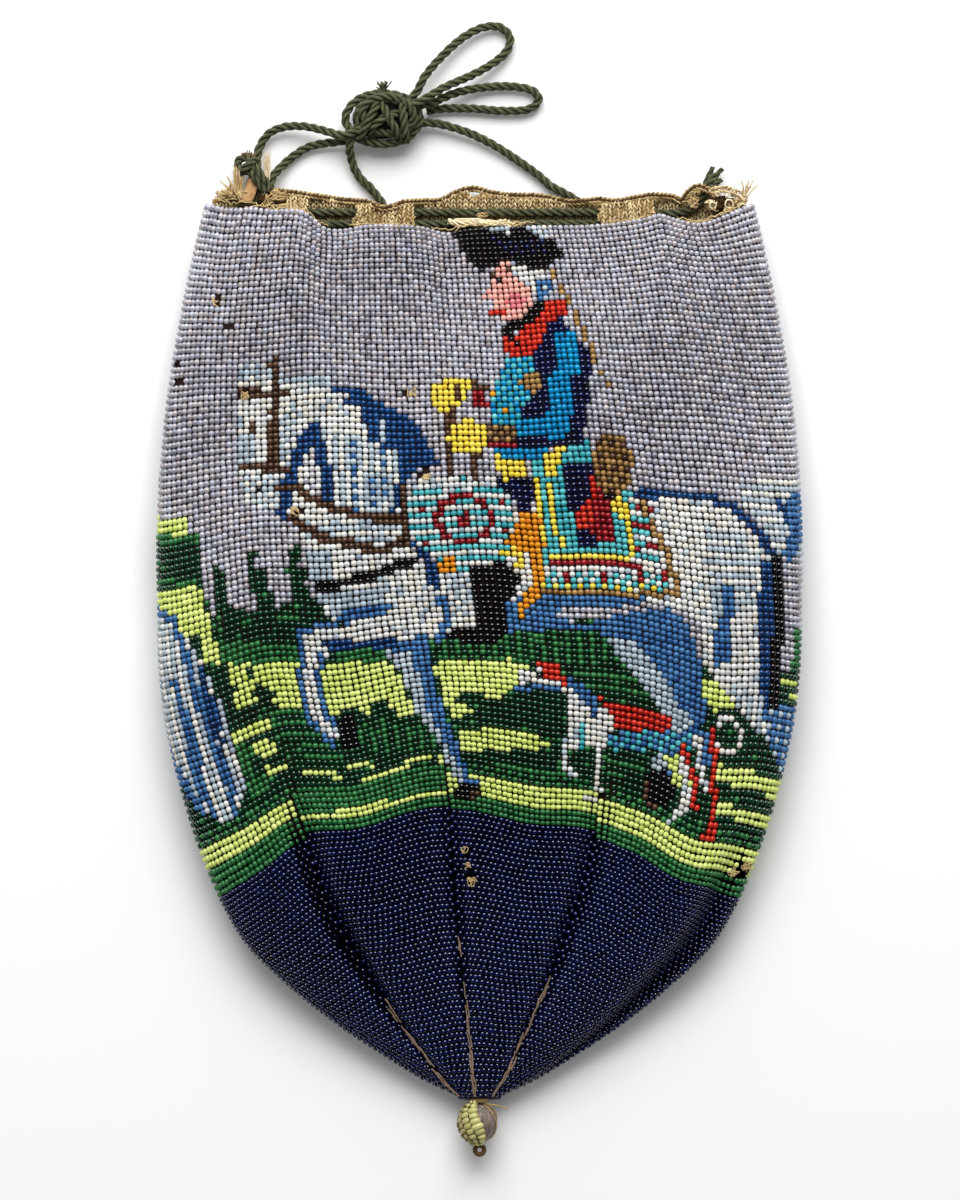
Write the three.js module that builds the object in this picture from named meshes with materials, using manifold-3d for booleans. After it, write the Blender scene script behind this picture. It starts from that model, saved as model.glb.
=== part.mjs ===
// A bead-knitted drawstring pouch that lies flat on its back, picture side up.
// X runs across the pouch, Y from the tassel to the mouth, Z up off the table.
// Heights along Y are first given from the mouth line, and the finished pouch is then moved so
// that the origin is the middle of the flat back. Millimetres.
import * as THREE from "three";
import { LoftGeometry } from "three/addons/geometries/LoftGeometry.js";
import { mergeVertices } from "three/addons/utils/BufferGeometryUtils.js";
import manifold from "manifold-3d";

const { Manifold, Mesh: SolidMesh } = await manifold().then((kit) => (kit.setup(), kit));

// Beaded bag
const BAG_LENGTH = 191.5; // mouth line to the tip
const BAG_WIDTH = 140; // at the widest row
const MOUTH_WIDTH = 119;
const WIDEST_DROP = 77; // mouth line to the widest row
const BAG_DEPTH = 22; // back to front at the widest row
const MOUTH_DEPTH = 15;
const TIP_DEPTH = 7;
const EDGE_HEIGHT = 8.4; // height of the side edges at the widest row
const WALL = 2.2; // knitting and beads together
const FRONT_ROUND = 0.92; // how round the front and the back are, 1 for an ellipse
const BACK_ROUND = 0.77;
const BACK_SPREAD = 3; // how far the back is pressed flat by the table
const NECK_CURVE = 2.1; // how late the sides turn in towards the mouth
const ROW_CURVE = 2.2; // how a row bends down towards the side edges
const BASE_CURVE = 0.85;
const DEPTH_CURVE = 1.3;
const BASE_DROP = 127.5; // mouth line to the first row of the base, at the middle
const BASE_EDGE_DROP = 146; // the same row at the side edges
const TIP_SOLID = 14; // gathered knitting that fills the tip
const TIP_HOLLOW = 1.5; // the middle of that knitting rises into the bag by this much

// Rows of beads, several of them to one ridge of the front
const BEAD_ROW = 1.24; // from one row to the next
const RIDGE_ROWS = 6;
const RIDGE_DEPTH = 0.7; // from the crest of a ridge to the groove beside it

// Gores of the base
const GORES = 8;
const FIRST_DART = 0.1; // share of the girth from the left edge to the first dart
const DART_DEPTH = 1.6;
const DART_WIDTH = 0.012; // share of the girth
const DART_FADE = 40; // a dart dies out over this length above the tip
const DART_LEAD = 12; // how far above the base a dart starts to sink

// Gathers at the mouth
const FOLD_LENGTH = 30;
const FOLDS = [
  { share: -0.53, width: 0.1, depth: 1.6 },
  { share: -0.09, width: 0.08, depth: 0.8 },
  { share: 0.77, width: 0.1, depth: 1.4 },
];
const EDGE_WAVE_LENGTH = 16;
const FRONT_EDGE = [[-1, 1], [-0.79, 0], [-0.55, -3.9], [-0.34, -2.2], [-0.09, -3.4], [0.15, -3],
  [0.44, -1], [0.59, 0.4], [0.79, -1.7], [1, 1]]; // share of the half width, rise of the front edge

// Drawstring
const CORD_DIAMETER = 2.2;
const UPPER_RUN = 0.2; // upper cord in the band, from the mouth line

// Heading band, chain edge and tabs
const BAND_THICK = 1.2;
const FRONT_STUB = 1.2; // height of the worn band at the front
const BACK_MARGIN = 0.6; // bare band at the back below the tabs
const CHAIN_DIAMETER = 1.8;
const CHAIN_REACH = 0.84; // half length of the chain, as a share of the half width of the mouth
const CHAIN_WAVE = [[-0.84, 0.5], [-0.605, 0.1], [-0.47, -0.2], [-0.345, 0], [-0.22, 0],
  [-0.12, 0.5], [-0.017, 1.6], [0.084, 1], [0.22, 0.2], [0.336, -0.2], [0.454, 0], [0.555, 0.1],
  [0.655, 0.4], [0.756, -0.3], [0.84, 0.3]];
const TAB_THICK = 0.9;
const TABS = [{ from: -41.8, width: 5 }, { from: -26.7, width: 11.9 }, { from: 26.7, width: 10.8 }];

// Bow
const BOW_X = -21;
const BOW_RISE = 20.5; // middle of the knot above the mouth line
const BOW_LENGTH = 18.4;
const BOW_WIDTH = 13.2;
const BOW_HEIGHT = 8.6;
const BOW_RING = 0.42; // height of the flat outer turn, as a share of the knot's height
const BOW_TURNS = [{ angle: 62, shift: -2.6 }, { angle: 118, shift: 1.4 }, { angle: 96, shift: 4.6 }];
// The strands drawn together inside the turns
const BOW_CORE = { length: 14.4, width: 10, height: 6.6, lift: 0.4 };
const END_KNOT_DIAMETER = 4.6;
const END_KNOT_X = -52;
const END_KNOT_RISE = 10;

// Tassel
const MOULD_DIAMETER = 7.6;
const MOULD_LENGTH = 8.4;
const TASSEL_BEAD = 1.3;
const BEAD_PITCH = 1.1; // along a string, a little under a bead so that neighbours join
const STRING_ANGLES = [84, 124, 164, 204]; // degrees about the tassel, 0 to the right, 90 up
const NECK_DIAMETER = 4;
const NECK_LENGTH = 0.6;
const END_LOOP_DIAMETER = 3;
const END_LOOP_THICK = 1;

// Clearances
const GAP = 0.3; // between pieces that touch
const CORD_CLEAR = 0.3; // around a cord
const TABLE_CLEAR = 0.2; // under a piece that lies on the table

// Sizes that follow from the ones above
const cordRadius = CORD_DIAMETER / 2;
const chainRadius = CHAIN_DIAMETER / 2;
const bandMiddle = WALL / 2;
const bandFace = bandMiddle + BAND_THICK / 2;
const runHeight = bandFace + CORD_CLEAR + cordRadius;
const overHeight = Math.max(bandMiddle + chainRadius + CORD_CLEAR + cordRadius, runHeight);
const tableHeight = cordRadius + TABLE_CLEAR; // a cord that lies on the table
const lowerRun = UPPER_RUN - CORD_DIAMETER - CORD_CLEAR;
const tabInnerTop = UPPER_RUN + cordRadius + CORD_CLEAR;
const tabInnerBottom = lowerRun - cordRadius - CORD_CLEAR;
const tabInnerHeight = runHeight + cordRadius + CORD_CLEAR;
const backEdgeDrop = TAB_THICK + BACK_MARGIN - tabInnerBottom;
const chainRise = tabInnerTop + TAB_THICK + GAP + chainRadius;
const halfMouth = MOUTH_WIDTH / 2;
const ridgeCount = Math.round(BAG_LENGTH / (BEAD_ROW * RIDGE_ROWS));
const ridgePitch = BAG_LENGTH / ridgeCount;

// Half width of the bag, by the distance below the mouth line
const FLANK = [[0, 1], [0.25, 0.983], [0.47, 0.902], [0.63, 0.803], [0.71, 0.727], [0.78, 0.615],
  [0.86, 0.455], [0.93, 0.285], [0.97, 0.178], [1, 0.075]];

function along(table, at) {
  if (at <= table[0][0]) return table[0][1];
  for (let i = 1; i < table.length; i++) {
    const [x0, y0] = table[i - 1];
    const [x1, y1] = table[i];
    if (at <= x1) return y0 + ((y1 - y0) * (at - x0)) / (x1 - x0);
  }
  return table[table.length - 1][1];
}

function smoothTable(points) {
  const curve = new THREE.SplineCurve(points.map((p) => new THREE.Vector2(...p)));
  return curve.getPoints(160).map((p) => [p.x, p.y]);
}

const flank = smoothTable(FLANK);
const frontEdge = smoothTable(FRONT_EDGE);
const chainWave = smoothTable(CHAIN_WAVE);

function halfWidth(drop) {
  if (drop <= WIDEST_DROP) {
    const up = (WIDEST_DROP - drop) / WIDEST_DROP;
    return BAG_WIDTH / 2 - ((BAG_WIDTH - MOUTH_WIDTH) / 2) * up ** NECK_CURVE;
  }
  return (BAG_WIDTH / 2) * along(flank, (drop - WIDEST_DROP) / (BAG_LENGTH - WIDEST_DROP));
}

function edgeDrop(drop) {
  if (drop <= BASE_DROP) return drop + (BASE_EDGE_DROP - BASE_DROP) * (drop / BASE_DROP) ** ROW_CURVE;
  const down = (drop - BASE_DROP) / (BAG_LENGTH - BASE_DROP);
  return BASE_EDGE_DROP + (BAG_LENGTH - BASE_EDGE_DROP) * down ** BASE_CURVE;
}

function depth(drop) {
  if (drop <= WIDEST_DROP) {
    return MOUTH_DEPTH + (BAG_DEPTH - MOUTH_DEPTH) * Math.sin((Math.PI / 2) * (drop / WIDEST_DROP));
  }
  const down = (drop - WIDEST_DROP) / (BAG_LENGTH - WIDEST_DROP);
  return TIP_DEPTH + (BAG_DEPTH - TIP_DEPTH) * Math.cos((Math.PI / 2) * down ** DEPTH_CURVE);
}

// Shares of the girth where a row has its points: each gore has points close beside its dart,
// and the side edges fall on points too
const shares = [];
for (let gore = 0; gore < GORES; gore++) {
  for (const part of [0, 0.06, 0.2, 0.4, 0.6, 0.8, 0.94]) {
    shares.push((FIRST_DART + (gore + part) / GORES) % 1);
  }
}
shares.sort((a, b) => a - b);

function dartDistance(share) {
  const place = (((share - FIRST_DART) * GORES) % 1 + 1) % 1;
  return Math.min(place, 1 - place) / GORES;
}

// One knitted row: points around the bag at the shares of its girth, front first, left to right
function row(drop, inset) {
  const sag = edgeDrop(drop) - drop;
  const half = halfWidth(edgeDrop(drop)) - inset;
  const full = depth(drop);
  const top = full - inset;
  const edge = (EDGE_HEIGHT * full) / BAG_DEPTH;
  const fold = Math.max(0, 1 - drop / FOLD_LENGTH) ** 2;
  const wave = Math.max(0, 1 - drop / EDGE_WAVE_LENGTH) ** 2;

  function point(angle) {
    const front = angle <= Math.PI;
    const power = front ? FRONT_ROUND : BACK_ROUND;
    const across = -Math.sign(Math.cos(angle)) * Math.abs(Math.cos(angle)) ** power;
    const lift = Math.abs(Math.sin(angle)) ** power;
    let z = front ? edge + (top - edge) * lift : Math.max(inset, edge - (edge - inset + BACK_SPREAD) * lift);
    let y = -(drop + sag * Math.abs(across) ** ROW_CURVE);
    if (front) {
      for (const gather of FOLDS) {
        z -= gather.depth * fold * lift * Math.exp(-(((across - gather.share) / gather.width) ** 2));
      }
      y += along(frontEdge, across) * wave * lift;
    } else {
      y -= backEdgeDrop * wave * lift ** 0.5;
    }
    return new THREE.Vector3(across * half, y, z);
  }

  const steps = 160;
  const halves = [0, 1].map((side) => {
    const table = [[0, side * Math.PI]];
    let last = point(side * Math.PI);
    for (let i = 1; i <= steps; i++) {
      const angle = (side + i / steps) * Math.PI;
      const next = point(Math.min(angle, 2 * Math.PI - 1e-6));
      table.push([table[i - 1][0] + last.distanceTo(next), angle]);
      last = next;
    }
    const total = table[steps][0];
    return table.map(([length, angle]) => [length / total, angle]);
  });

  const points = shares.map((share) => point(along(halves[share < 0.5 ? 0 : 1], (share % 0.5) * 2)));
  if (inset > 0) return points;

  // Darts, and the grooves between the ridges of the front, sink along the bag's own inward direction
  const started = Math.min(1, Math.max(0, (drop - BASE_DROP) / DART_LEAD + 1));
  const sink = started * Math.min(1, (BAG_LENGTH - drop) / DART_FADE);
  const groove = Math.sin((Math.PI * drop) / ridgePitch) ** 2 * Math.min(1, (BAG_LENGTH - drop) / TIP_SOLID);
  return points.map((here, i) => {
    const before = points[(i + points.length - 1) % points.length];
    const after = points[(i + 1) % points.length];
    const normal = new THREE.Vector3(after.z - before.z, 0, before.x - after.x).normalize();
    const dart = DART_DEPTH * sink * Math.exp(-((dartDistance(shares[i]) / DART_WIDTH) ** 2));
    const facing = Math.sqrt(Math.max(0, Math.sin(2 * Math.PI * shares[i])));
    return here.clone().addScaledVector(normal, Math.max(dart, RIDGE_DEPTH * groove * facing));
  });
}

function bareSolid(geometry) {
  const plain = new THREE.BufferGeometry().copy(geometry);
  plain.deleteAttribute("normal");
  plain.deleteAttribute("uv");
  const merged = mergeVertices(plain, 1e-4);
  return new Manifold(new SolidMesh({
    numProp: 3,
    vertProperties: new Float32Array(merged.attributes.position.array),
    triVerts: new Uint32Array(merged.index.array),
  }));
}

function shapeOf(solid) {
  const mesh = solid.getMesh();
  const geometry = new THREE.BufferGeometry();
  geometry.setAttribute("position", new THREE.BufferAttribute(Float32Array.from(mesh.vertProperties), 3));
  geometry.setIndex(new THREE.BufferAttribute(Uint32Array.from(mesh.triVerts), 1));
  geometry.computeVertexNormals();
  return geometry;
}

const pouch = new THREE.Group();
pouch.name = "beaded_pouch";
pouch.position.y = BAG_LENGTH / 2;

function add(name, geometry, color, roughness) {
  geometry.computeVertexNormals();
  const mesh = new THREE.Mesh(geometry, new THREE.MeshStandardMaterial({ color, roughness, metalness: 0 }));
  mesh.name = name;
  pouch.add(mesh);
}

// Beaded bag: one knitted tube, closed by gores that gather to the tip. The outside has a row of
// points on the crest of each ridge and one in each groove
const outside = [];
for (let i = 2 * ridgeCount; i >= 0; i--) outside.push(row((ridgePitch * i) / 2, 0));
const innerEnd = BAG_LENGTH - TIP_SOLID;
const inside = [];
for (let i = 0; i <= 16; i++) inside.push(row(innerEnd * (i / 16) ** 1.2, WALL));
const gathered = inside[16].reduce((sum, p) => sum.add(p), new THREE.Vector3()).divideScalar(shares.length);
inside.push(inside[16].map((p) => p.clone().lerp(gathered, 0.5).setY(gathered.y + TIP_HOLLOW)));
add("beaded_bag", new LoftGeometry([...outside, ...inside], { capStart: true, capEnd: true }), 0x8f8aa2, 0.3);

// Heading band: the unbeaded knitting that goes on from the last row, high at the back and worn low
// at the front, with tabs that hold the cords
const outerRim = row(0, 0);
const innerRim = row(0, WALL);
const sections = outerRim.map((outer, i) => {
  const inner = innerRim[i];
  const middle = outer.clone().add(inner).multiplyScalar(0.5);
  const across = inner.clone().sub(outer).setY(0).normalize().multiplyScalar(BAND_THICK / 2);
  const back = chainRise + along(chainWave, middle.x / halfMouth) - chainRadius - GAP;
  const bottom = Math.max(outer.y, inner.y) + GAP;
  const rise = Math.min(1, Math.max(0, (middle.z - bandMiddle) / (MOUTH_DEPTH / 2)));
  const top = Math.max(bottom + FRONT_STUB, back * (1 - rise) + (bottom + FRONT_STUB) * rise);
  return [[1, bottom], [-1, bottom], [-1, top], [1, top]].map(([side, y]) =>
    middle.clone().addScaledVector(across, side).setY(y));
});
let band = bareSolid(new LoftGeometry([...sections, sections[0]]));
if (band.volume() < 0) {
  const flipped = sections.map((section) => [...section].reverse());
  band = bareSolid(new LoftGeometry([...flipped, flipped[0]]));
}
for (const tab of TABS) {
  const arch = new THREE.Shape();
  const foot = bandMiddle;
  const round = TAB_THICK;
  const outerTop = tabInnerTop + TAB_THICK;
  const outerBottom = tabInnerBottom - TAB_THICK;
  const outerHeight = tabInnerHeight + TAB_THICK;
  arch.moveTo(outerBottom, foot);
  arch.lineTo(tabInnerBottom, foot);
  arch.lineTo(tabInnerBottom, tabInnerHeight);
  arch.lineTo(tabInnerTop, tabInnerHeight);
  arch.lineTo(tabInnerTop, foot);
  arch.lineTo(outerTop, foot);
  arch.lineTo(outerTop, outerHeight - round);
  arch.quadraticCurveTo(outerTop, outerHeight, outerTop - round, outerHeight);
  arch.lineTo(outerBottom + round, outerHeight);
  arch.quadraticCurveTo(outerBottom, outerHeight, outerBottom, outerHeight - round);
  const strip = new THREE.ExtrudeGeometry(arch, { depth: tab.width, bevelEnabled: false, curveSegments: 4 });
  strip.applyMatrix4(new THREE.Matrix4().makeBasis(
    new THREE.Vector3(0, 1, 0), new THREE.Vector3(0, 0, 1), new THREE.Vector3(1, 0, 0)));
  strip.translate(tab.from, 0, 0);
  band = band.add(bareSolid(strip));
}
add("heading_band", shapeOf(band), 0xd7be82, 0.9);

// A cord along a curve through the given points
function tube(points, steps, radius = cordRadius, sides = 8) {
  const section = new THREE.Shape();
  for (let i = 0; i < sides; i++) {
    const angle = (i / sides) * 2 * Math.PI;
    const place = [radius * Math.cos(angle), radius * Math.sin(angle)];
    if (i === 0) section.moveTo(...place);
    else section.lineTo(...place);
  }
  section.closePath();
  const path = new THREE.CatmullRomCurve3(points.map((p) => new THREE.Vector3(...p)));
  return new THREE.ExtrudeGeometry(section, { steps, extrudePath: path, bevelEnabled: false });
}

// Chain edge: crocheted chain along the top of the band
const chainPoints = [];
for (let i = 0; i <= 24; i++) {
  const share = CHAIN_REACH * (i / 12 - 1);
  chainPoints.push([share * halfMouth, chainRise + along(chainWave, share), bandMiddle]);
}
add("chain_edge", tube(chainPoints, 48, chainRadius), 0x785f37, 0.85);

// Drawstring: two cords that run through the band and come out at the corners, and the bow they end in
const lowerCord = [
  [-29.6, 16.8, 5.2], [-33.7, 17.9, 4], [-38.1, 18.9, 3], [-42.6, 18.8, 2.2], [-45.9, 17.3, 1.8],
  [-47.8, 14.3, 1.8], [-48.3, 11.7, 2.2], [-48, 8.9, overHeight], [-48.1, 6, overHeight + TABLE_CLEAR],
  [-48.2, 3.4, overHeight], [-47.4, 0.4, runHeight], [-45.4, lowerRun + 0.7, runHeight],
  [-42.4, lowerRun, runHeight], [-36, lowerRun, runHeight], [-20, lowerRun, runHeight],
  [5, lowerRun, runHeight], [30, lowerRun, runHeight],
];
const upperCord = [
  [-30.2, 15.7, 2], [-33.8, 15.3, 1.6], [-37.3, 14.5, tableHeight], [-40.5, 12.5, tableHeight],
  [-43.3, 9.9, 2], [-45, 7.5, overHeight], [-45.5, 5, overHeight + TABLE_CLEAR], [-45.4, 2.9, overHeight],
  [-44.3, UPPER_RUN + 0.8, runHeight], [-42, UPPER_RUN, runHeight], [-36, UPPER_RUN, runHeight],
  [-20, UPPER_RUN, runHeight], [5, UPPER_RUN, runHeight], [28, UPPER_RUN, runHeight],
  [44.5, UPPER_RUN, runHeight], [47.8, 1.2, runHeight], [50, 3.4, overHeight], [51.2, 6, overHeight],
  [52.6, 9.4, 2.4],
];
const dropCord = [
  [-28.2, 14.4, 4], [-27.9, 12.3, 2.4], [-27, 9.5, 1.6], [-25.4, 7.2, tableHeight],
  [-24.2, 6.2, tableHeight],
];
const rightCord = [
  [-11.4, 20.2, 2.6], [-4.1, 18.2, 2], [3, 15, 1.6], [9.5, 10.8, tableHeight], [13.1, 8.2, tableHeight],
  [15.3, 6.2, tableHeight],
];
const longLoop = [
  [-14.2, 25.6, 3.2], [-11.8, 29.8, 3.2], [-7.7, 34.6, 2.6], [-2.9, 38.7, 2], [1.2, 40.6, 1.7],
  [4.6, 40.5, tableHeight], [6.6, 38.4, tableHeight], [6.1, 35.7, 1.6], [3.8, 33.3, 2], [-1.2, 30.2, 3],
  [-7.7, 27.1, 5.2], [-11.6, 24.7, 6],
];
const shortLoop = [
  [-11.4, 22.9, 3.7], [-8.3, 24.9, 3.7], [-5.4, 26.4, 2.6], [1.2, 27.5, 1.6], [8.3, 27.6, tableHeight],
  [11.8, 26.6, tableHeight], [12.9, 24.8, tableHeight], [10.9, 22.9, tableHeight], [5.4, 22.4, tableHeight],
  [-1.7, 22.9, tableHeight], [-8, 22.9, tableHeight], [-11.4, 22.4, tableHeight],
];
const cords = [
  ["drawstring_lower_run", lowerCord, 30],
  ["drawstring_upper_run", upperCord, 36],
  ["drawstring_drop_strand", dropCord, 5],
  ["drawstring_right_strand", rightCord, 8],
  ["bow_loop_long", longLoop, 20],
  ["bow_loop_short", shortLoop, 18],
];
for (const [name, points, steps] of cords) add(name, tube(points, steps), 0x4b5540, 0.9);

// Bow knot: turns of the cord drawn into a flat lump, with hollows where the strands come out of it
function turn(length, width, height, place) {
  const ring = new THREE.TorusGeometry(1, cordRadius, 8, 20);
  const points = ring.attributes.position;
  for (let i = 0; i < points.count; i++) {
    const radius = Math.hypot(points.getX(i), points.getY(i));
    const cos = points.getX(i) / radius;
    const sin = points.getY(i) / radius;
    points.setXYZ(i, cos * (length + radius - 1), sin * (width + radius - 1), points.getZ(i));
  }
  return bareSolid(ring.applyMatrix4(place).translate(0, 0, height));
}
const across = new THREE.Matrix4().makeRotationX(Math.PI / 2);
const lump = new THREE.SphereGeometry(1, 20, 12);
lump.scale(BOW_CORE.length / 2, BOW_CORE.width / 2, BOW_CORE.height / 2);
let knot = bareSolid(lump.translate(0, 0, BOW_CORE.height / 2 + BOW_CORE.lift));
const flat = new THREE.Matrix4();
knot = knot.add(turn(BOW_LENGTH / 2 - cordRadius, BOW_WIDTH / 2 - cordRadius, BOW_HEIGHT * BOW_RING, flat));
for (const { angle, shift } of BOW_TURNS) {
  const place = new THREE.Matrix4().makeRotationZ(THREE.MathUtils.degToRad(angle)).multiply(across);
  place.setPosition(shift, 0, 0);
  knot = knot.add(turn(BOW_WIDTH / 2 - cordRadius - 0.4, BOW_HEIGHT / 2 - cordRadius, BOW_HEIGHT / 2, place));
}
knot = knot.translate([BOW_X, BOW_RISE, TABLE_CLEAR / 2]);
for (const [, points, steps] of cords) {
  knot = knot.subtract(bareSolid(tube(points, steps, cordRadius + CORD_CLEAR)));
}
const knotParts = knot.decompose().sort((a, b) => b.volume() - a.volume());
add("bow_knot", shapeOf(knotParts[0]), 0x4b5540, 0.9);

// End knot: the short end that comes out of the band at the left corner
const endKnotPlace = [END_KNOT_X, END_KNOT_RISE, END_KNOT_DIAMETER / 2 + 2 * TABLE_CLEAR];
const endCord = [[-50.9, 1, runHeight], [-50.9, 3.6, overHeight], [-51.2, 6.6, overHeight], endKnotPlace];
const endStrand = tube(endCord, 5);
const endBall = new THREE.SphereGeometry(END_KNOT_DIAMETER / 2, 14, 10).translate(...endKnotPlace);
add("drawstring_end_knot", shapeOf(bareSolid(endStrand).add(bareSolid(endBall))), 0x4b5540, 0.9);

// Tassel: a turned wooden mould below the tip, with strings of beads along one side and an end loop
const stringReach = MOULD_DIAMETER / 2 + GAP + TASSEL_BEAD;
const tasselHeight = stringReach + TABLE_CLEAR / 2;
const neckTop = -BAG_LENGTH - GAP;
const mouldTop = neckTop - NECK_LENGTH - GAP;
const mouldMiddle = mouldTop - MOULD_LENGTH / 2;

function turned(profile) {
  return new THREE.LatheGeometry(profile.map((p) => new THREE.Vector2(...p)), 20);
}
const neckProfile = [[0, -NECK_LENGTH], [NECK_DIAMETER / 2, -NECK_LENGTH], [NECK_DIAMETER / 2, 0], [0, 0]];
add("tassel_neck", turned(neckProfile).translate(0, neckTop, tasselHeight), 0xa8853c, 0.8);

const mouldProfile = [];
for (let i = 0; i <= 14; i++) {
  const angle = (i / 14 - 0.5) * Math.PI;
  const radius = i % 14 === 0 ? 0 : (MOULD_DIAMETER / 2) * Math.cos(angle);
  mouldProfile.push([radius, (MOULD_LENGTH / 2) * Math.sin(angle)]);
}
add("tassel_mould", turned(mouldProfile).translate(0, mouldMiddle, tasselHeight), 0x786a5e, 0.75);

STRING_ANGLES.forEach((degrees, index) => {
  const reach = MOULD_DIAMETER / 2 + GAP + TASSEL_BEAD / 2;
  const length = MOULD_LENGTH / 2 + GAP + TASSEL_BEAD / 2;
  const end = Math.asin((MOULD_LENGTH - TASSEL_BEAD) / 2 / length);
  const count = Math.ceil((2 * end * Math.max(reach, length)) / BEAD_PITCH) + 1;
  let string = null;
  for (let i = 0; i < count; i++) {
    const place = i / (count - 1) - 0.5;
    const slope = 2 * end * place;
    const around = THREE.MathUtils.degToRad(degrees + 8 * place);
    const out = reach * Math.cos(slope);
    const bead = new THREE.SphereGeometry(TASSEL_BEAD / 2, 8, 6);
    const rise = mouldMiddle + length * Math.sin(slope);
    bead.translate(out * Math.cos(around), rise, tasselHeight + out * Math.sin(around));
    const solid = bareSolid(bead);
    string = string ? string.add(solid) : solid;
  }
  add(`tassel_bead_string_${index + 1}`, shapeOf(string), 0xc3cd78, 0.3);
});

const endLoop = new THREE.TorusGeometry((END_LOOP_DIAMETER - END_LOOP_THICK) / 2, END_LOOP_THICK / 2, 8, 16);
const endLoopMiddle = mouldMiddle - MOULD_LENGTH / 2 - GAP - END_LOOP_DIAMETER / 2;
add("tassel_end_loop", endLoop.translate(0, endLoopMiddle, tasselHeight), 0x785f37, 0.85);

export default pouch;
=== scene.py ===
import math
import random

import bpy
import numpy as np
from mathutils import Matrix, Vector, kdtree


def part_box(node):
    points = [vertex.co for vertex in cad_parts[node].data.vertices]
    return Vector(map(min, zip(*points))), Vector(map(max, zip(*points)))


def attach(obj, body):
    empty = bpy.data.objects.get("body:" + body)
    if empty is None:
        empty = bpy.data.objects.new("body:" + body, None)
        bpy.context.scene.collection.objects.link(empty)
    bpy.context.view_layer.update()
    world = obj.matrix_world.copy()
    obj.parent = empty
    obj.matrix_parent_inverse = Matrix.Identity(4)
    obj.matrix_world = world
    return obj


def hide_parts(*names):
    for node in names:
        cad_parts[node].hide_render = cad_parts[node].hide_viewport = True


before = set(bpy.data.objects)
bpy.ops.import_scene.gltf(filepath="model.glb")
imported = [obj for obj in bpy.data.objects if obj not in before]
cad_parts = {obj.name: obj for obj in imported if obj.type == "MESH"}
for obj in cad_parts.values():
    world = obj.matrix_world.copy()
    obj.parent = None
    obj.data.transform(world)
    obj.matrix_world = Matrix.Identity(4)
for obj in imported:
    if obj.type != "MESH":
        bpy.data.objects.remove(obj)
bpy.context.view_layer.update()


# Camera, table and light.
# The pouch lies on a white table and is seen straight from above. A broad lamp stands beyond the
# mouth, so that the soft shadows fall towards the tassel.
scene = bpy.context.scene
scene.view_settings.view_transform = "Standard"
bpy.ops.object.select_all(action="DESELECT")
bpy.ops.object.camera_add(location=(0.0001, 0.0119, 1.208), rotation=(0, 0, 0))
camera = bpy.context.object
camera.data.sensor_fit = "VERTICAL"
camera.data.sensor_height = 24
camera.data.lens = 111.1
camera.data.clip_start = 0.05
scene.camera = camera

bpy.ops.mesh.primitive_plane_add(size=6, location=(0, 0, -0.0002))
table = bpy.context.object
table.name = "table"
table_paint = bpy.data.materials.new("table_paint")
table_paint.use_nodes = True
table_surface = table_paint.node_tree.nodes["Principled BSDF"]
table_surface.inputs["Base Color"].default_value = (0.93, 0.93, 0.93, 1)
table_surface.inputs["Roughness"].default_value = 0.8
table_surface.inputs["Specular IOR Level"].default_value = 0.1
table.data.materials.append(table_paint)

world = bpy.data.worlds.new("studio")
scene.world = world
world.use_nodes = True
world.node_tree.nodes["Background"].inputs["Color"].default_value = (1, 1, 1, 1)
world.node_tree.nodes["Background"].inputs["Strength"].default_value = 0.34
world.cycles_visibility.glossy = False

# The main lamp alone shines back from the glass, so that each bead has one small bright spot
bpy.ops.object.light_add(type="AREA", location=(-0.02, 0.75, 0.78),
                         rotation=(math.radians(-44), 0, math.radians(1)))
main_lamp = bpy.context.object
main_lamp.name = "main_lamp"
main_lamp.data.shape = "RECTANGLE"
main_lamp.data.size = 1.0
main_lamp.data.size_y = 0.7
main_lamp.data.energy = 12.5

bpy.ops.object.light_add(type="AREA", location=(0, 1.0, 0.5), rotation=(math.radians(-63), 0, 0))
low_lamp = bpy.context.object
low_lamp.name = "low_lamp"
low_lamp.data.size = 1.0
low_lamp.data.energy = 5.8
low_lamp.visible_glossy = False


# Drawstring.
# Two plied cords of dull green silk run through the heading, come out at the corners and meet in a
# tight knot with two loops. Each cord is three strands twisted together, limp, laid down by hand.
MOUTH = 0.09575  # the mouth line, along Y
PLY = 0.00093  # one strand of the cord
PLY_REACH = 0.00052  # from the cord's middle line to the middle of a strand
TWIST = 0.0062  # length of one full turn of the strands
CORD_STEP = 0.0005  # from point to point along a cord
CURVE_PARTS = 24  # a curve is worked out in this many parts between two given points


def run_of(line):
    """The way along a line to each of its points."""
    return np.append(0, np.cumsum(np.linalg.norm(np.diff(line, axis=0), axis=1)))


def unit(ways):
    """The same directions, each with a length of 1."""
    return ways / np.linalg.norm(ways, axis=1)[:, None]


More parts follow.
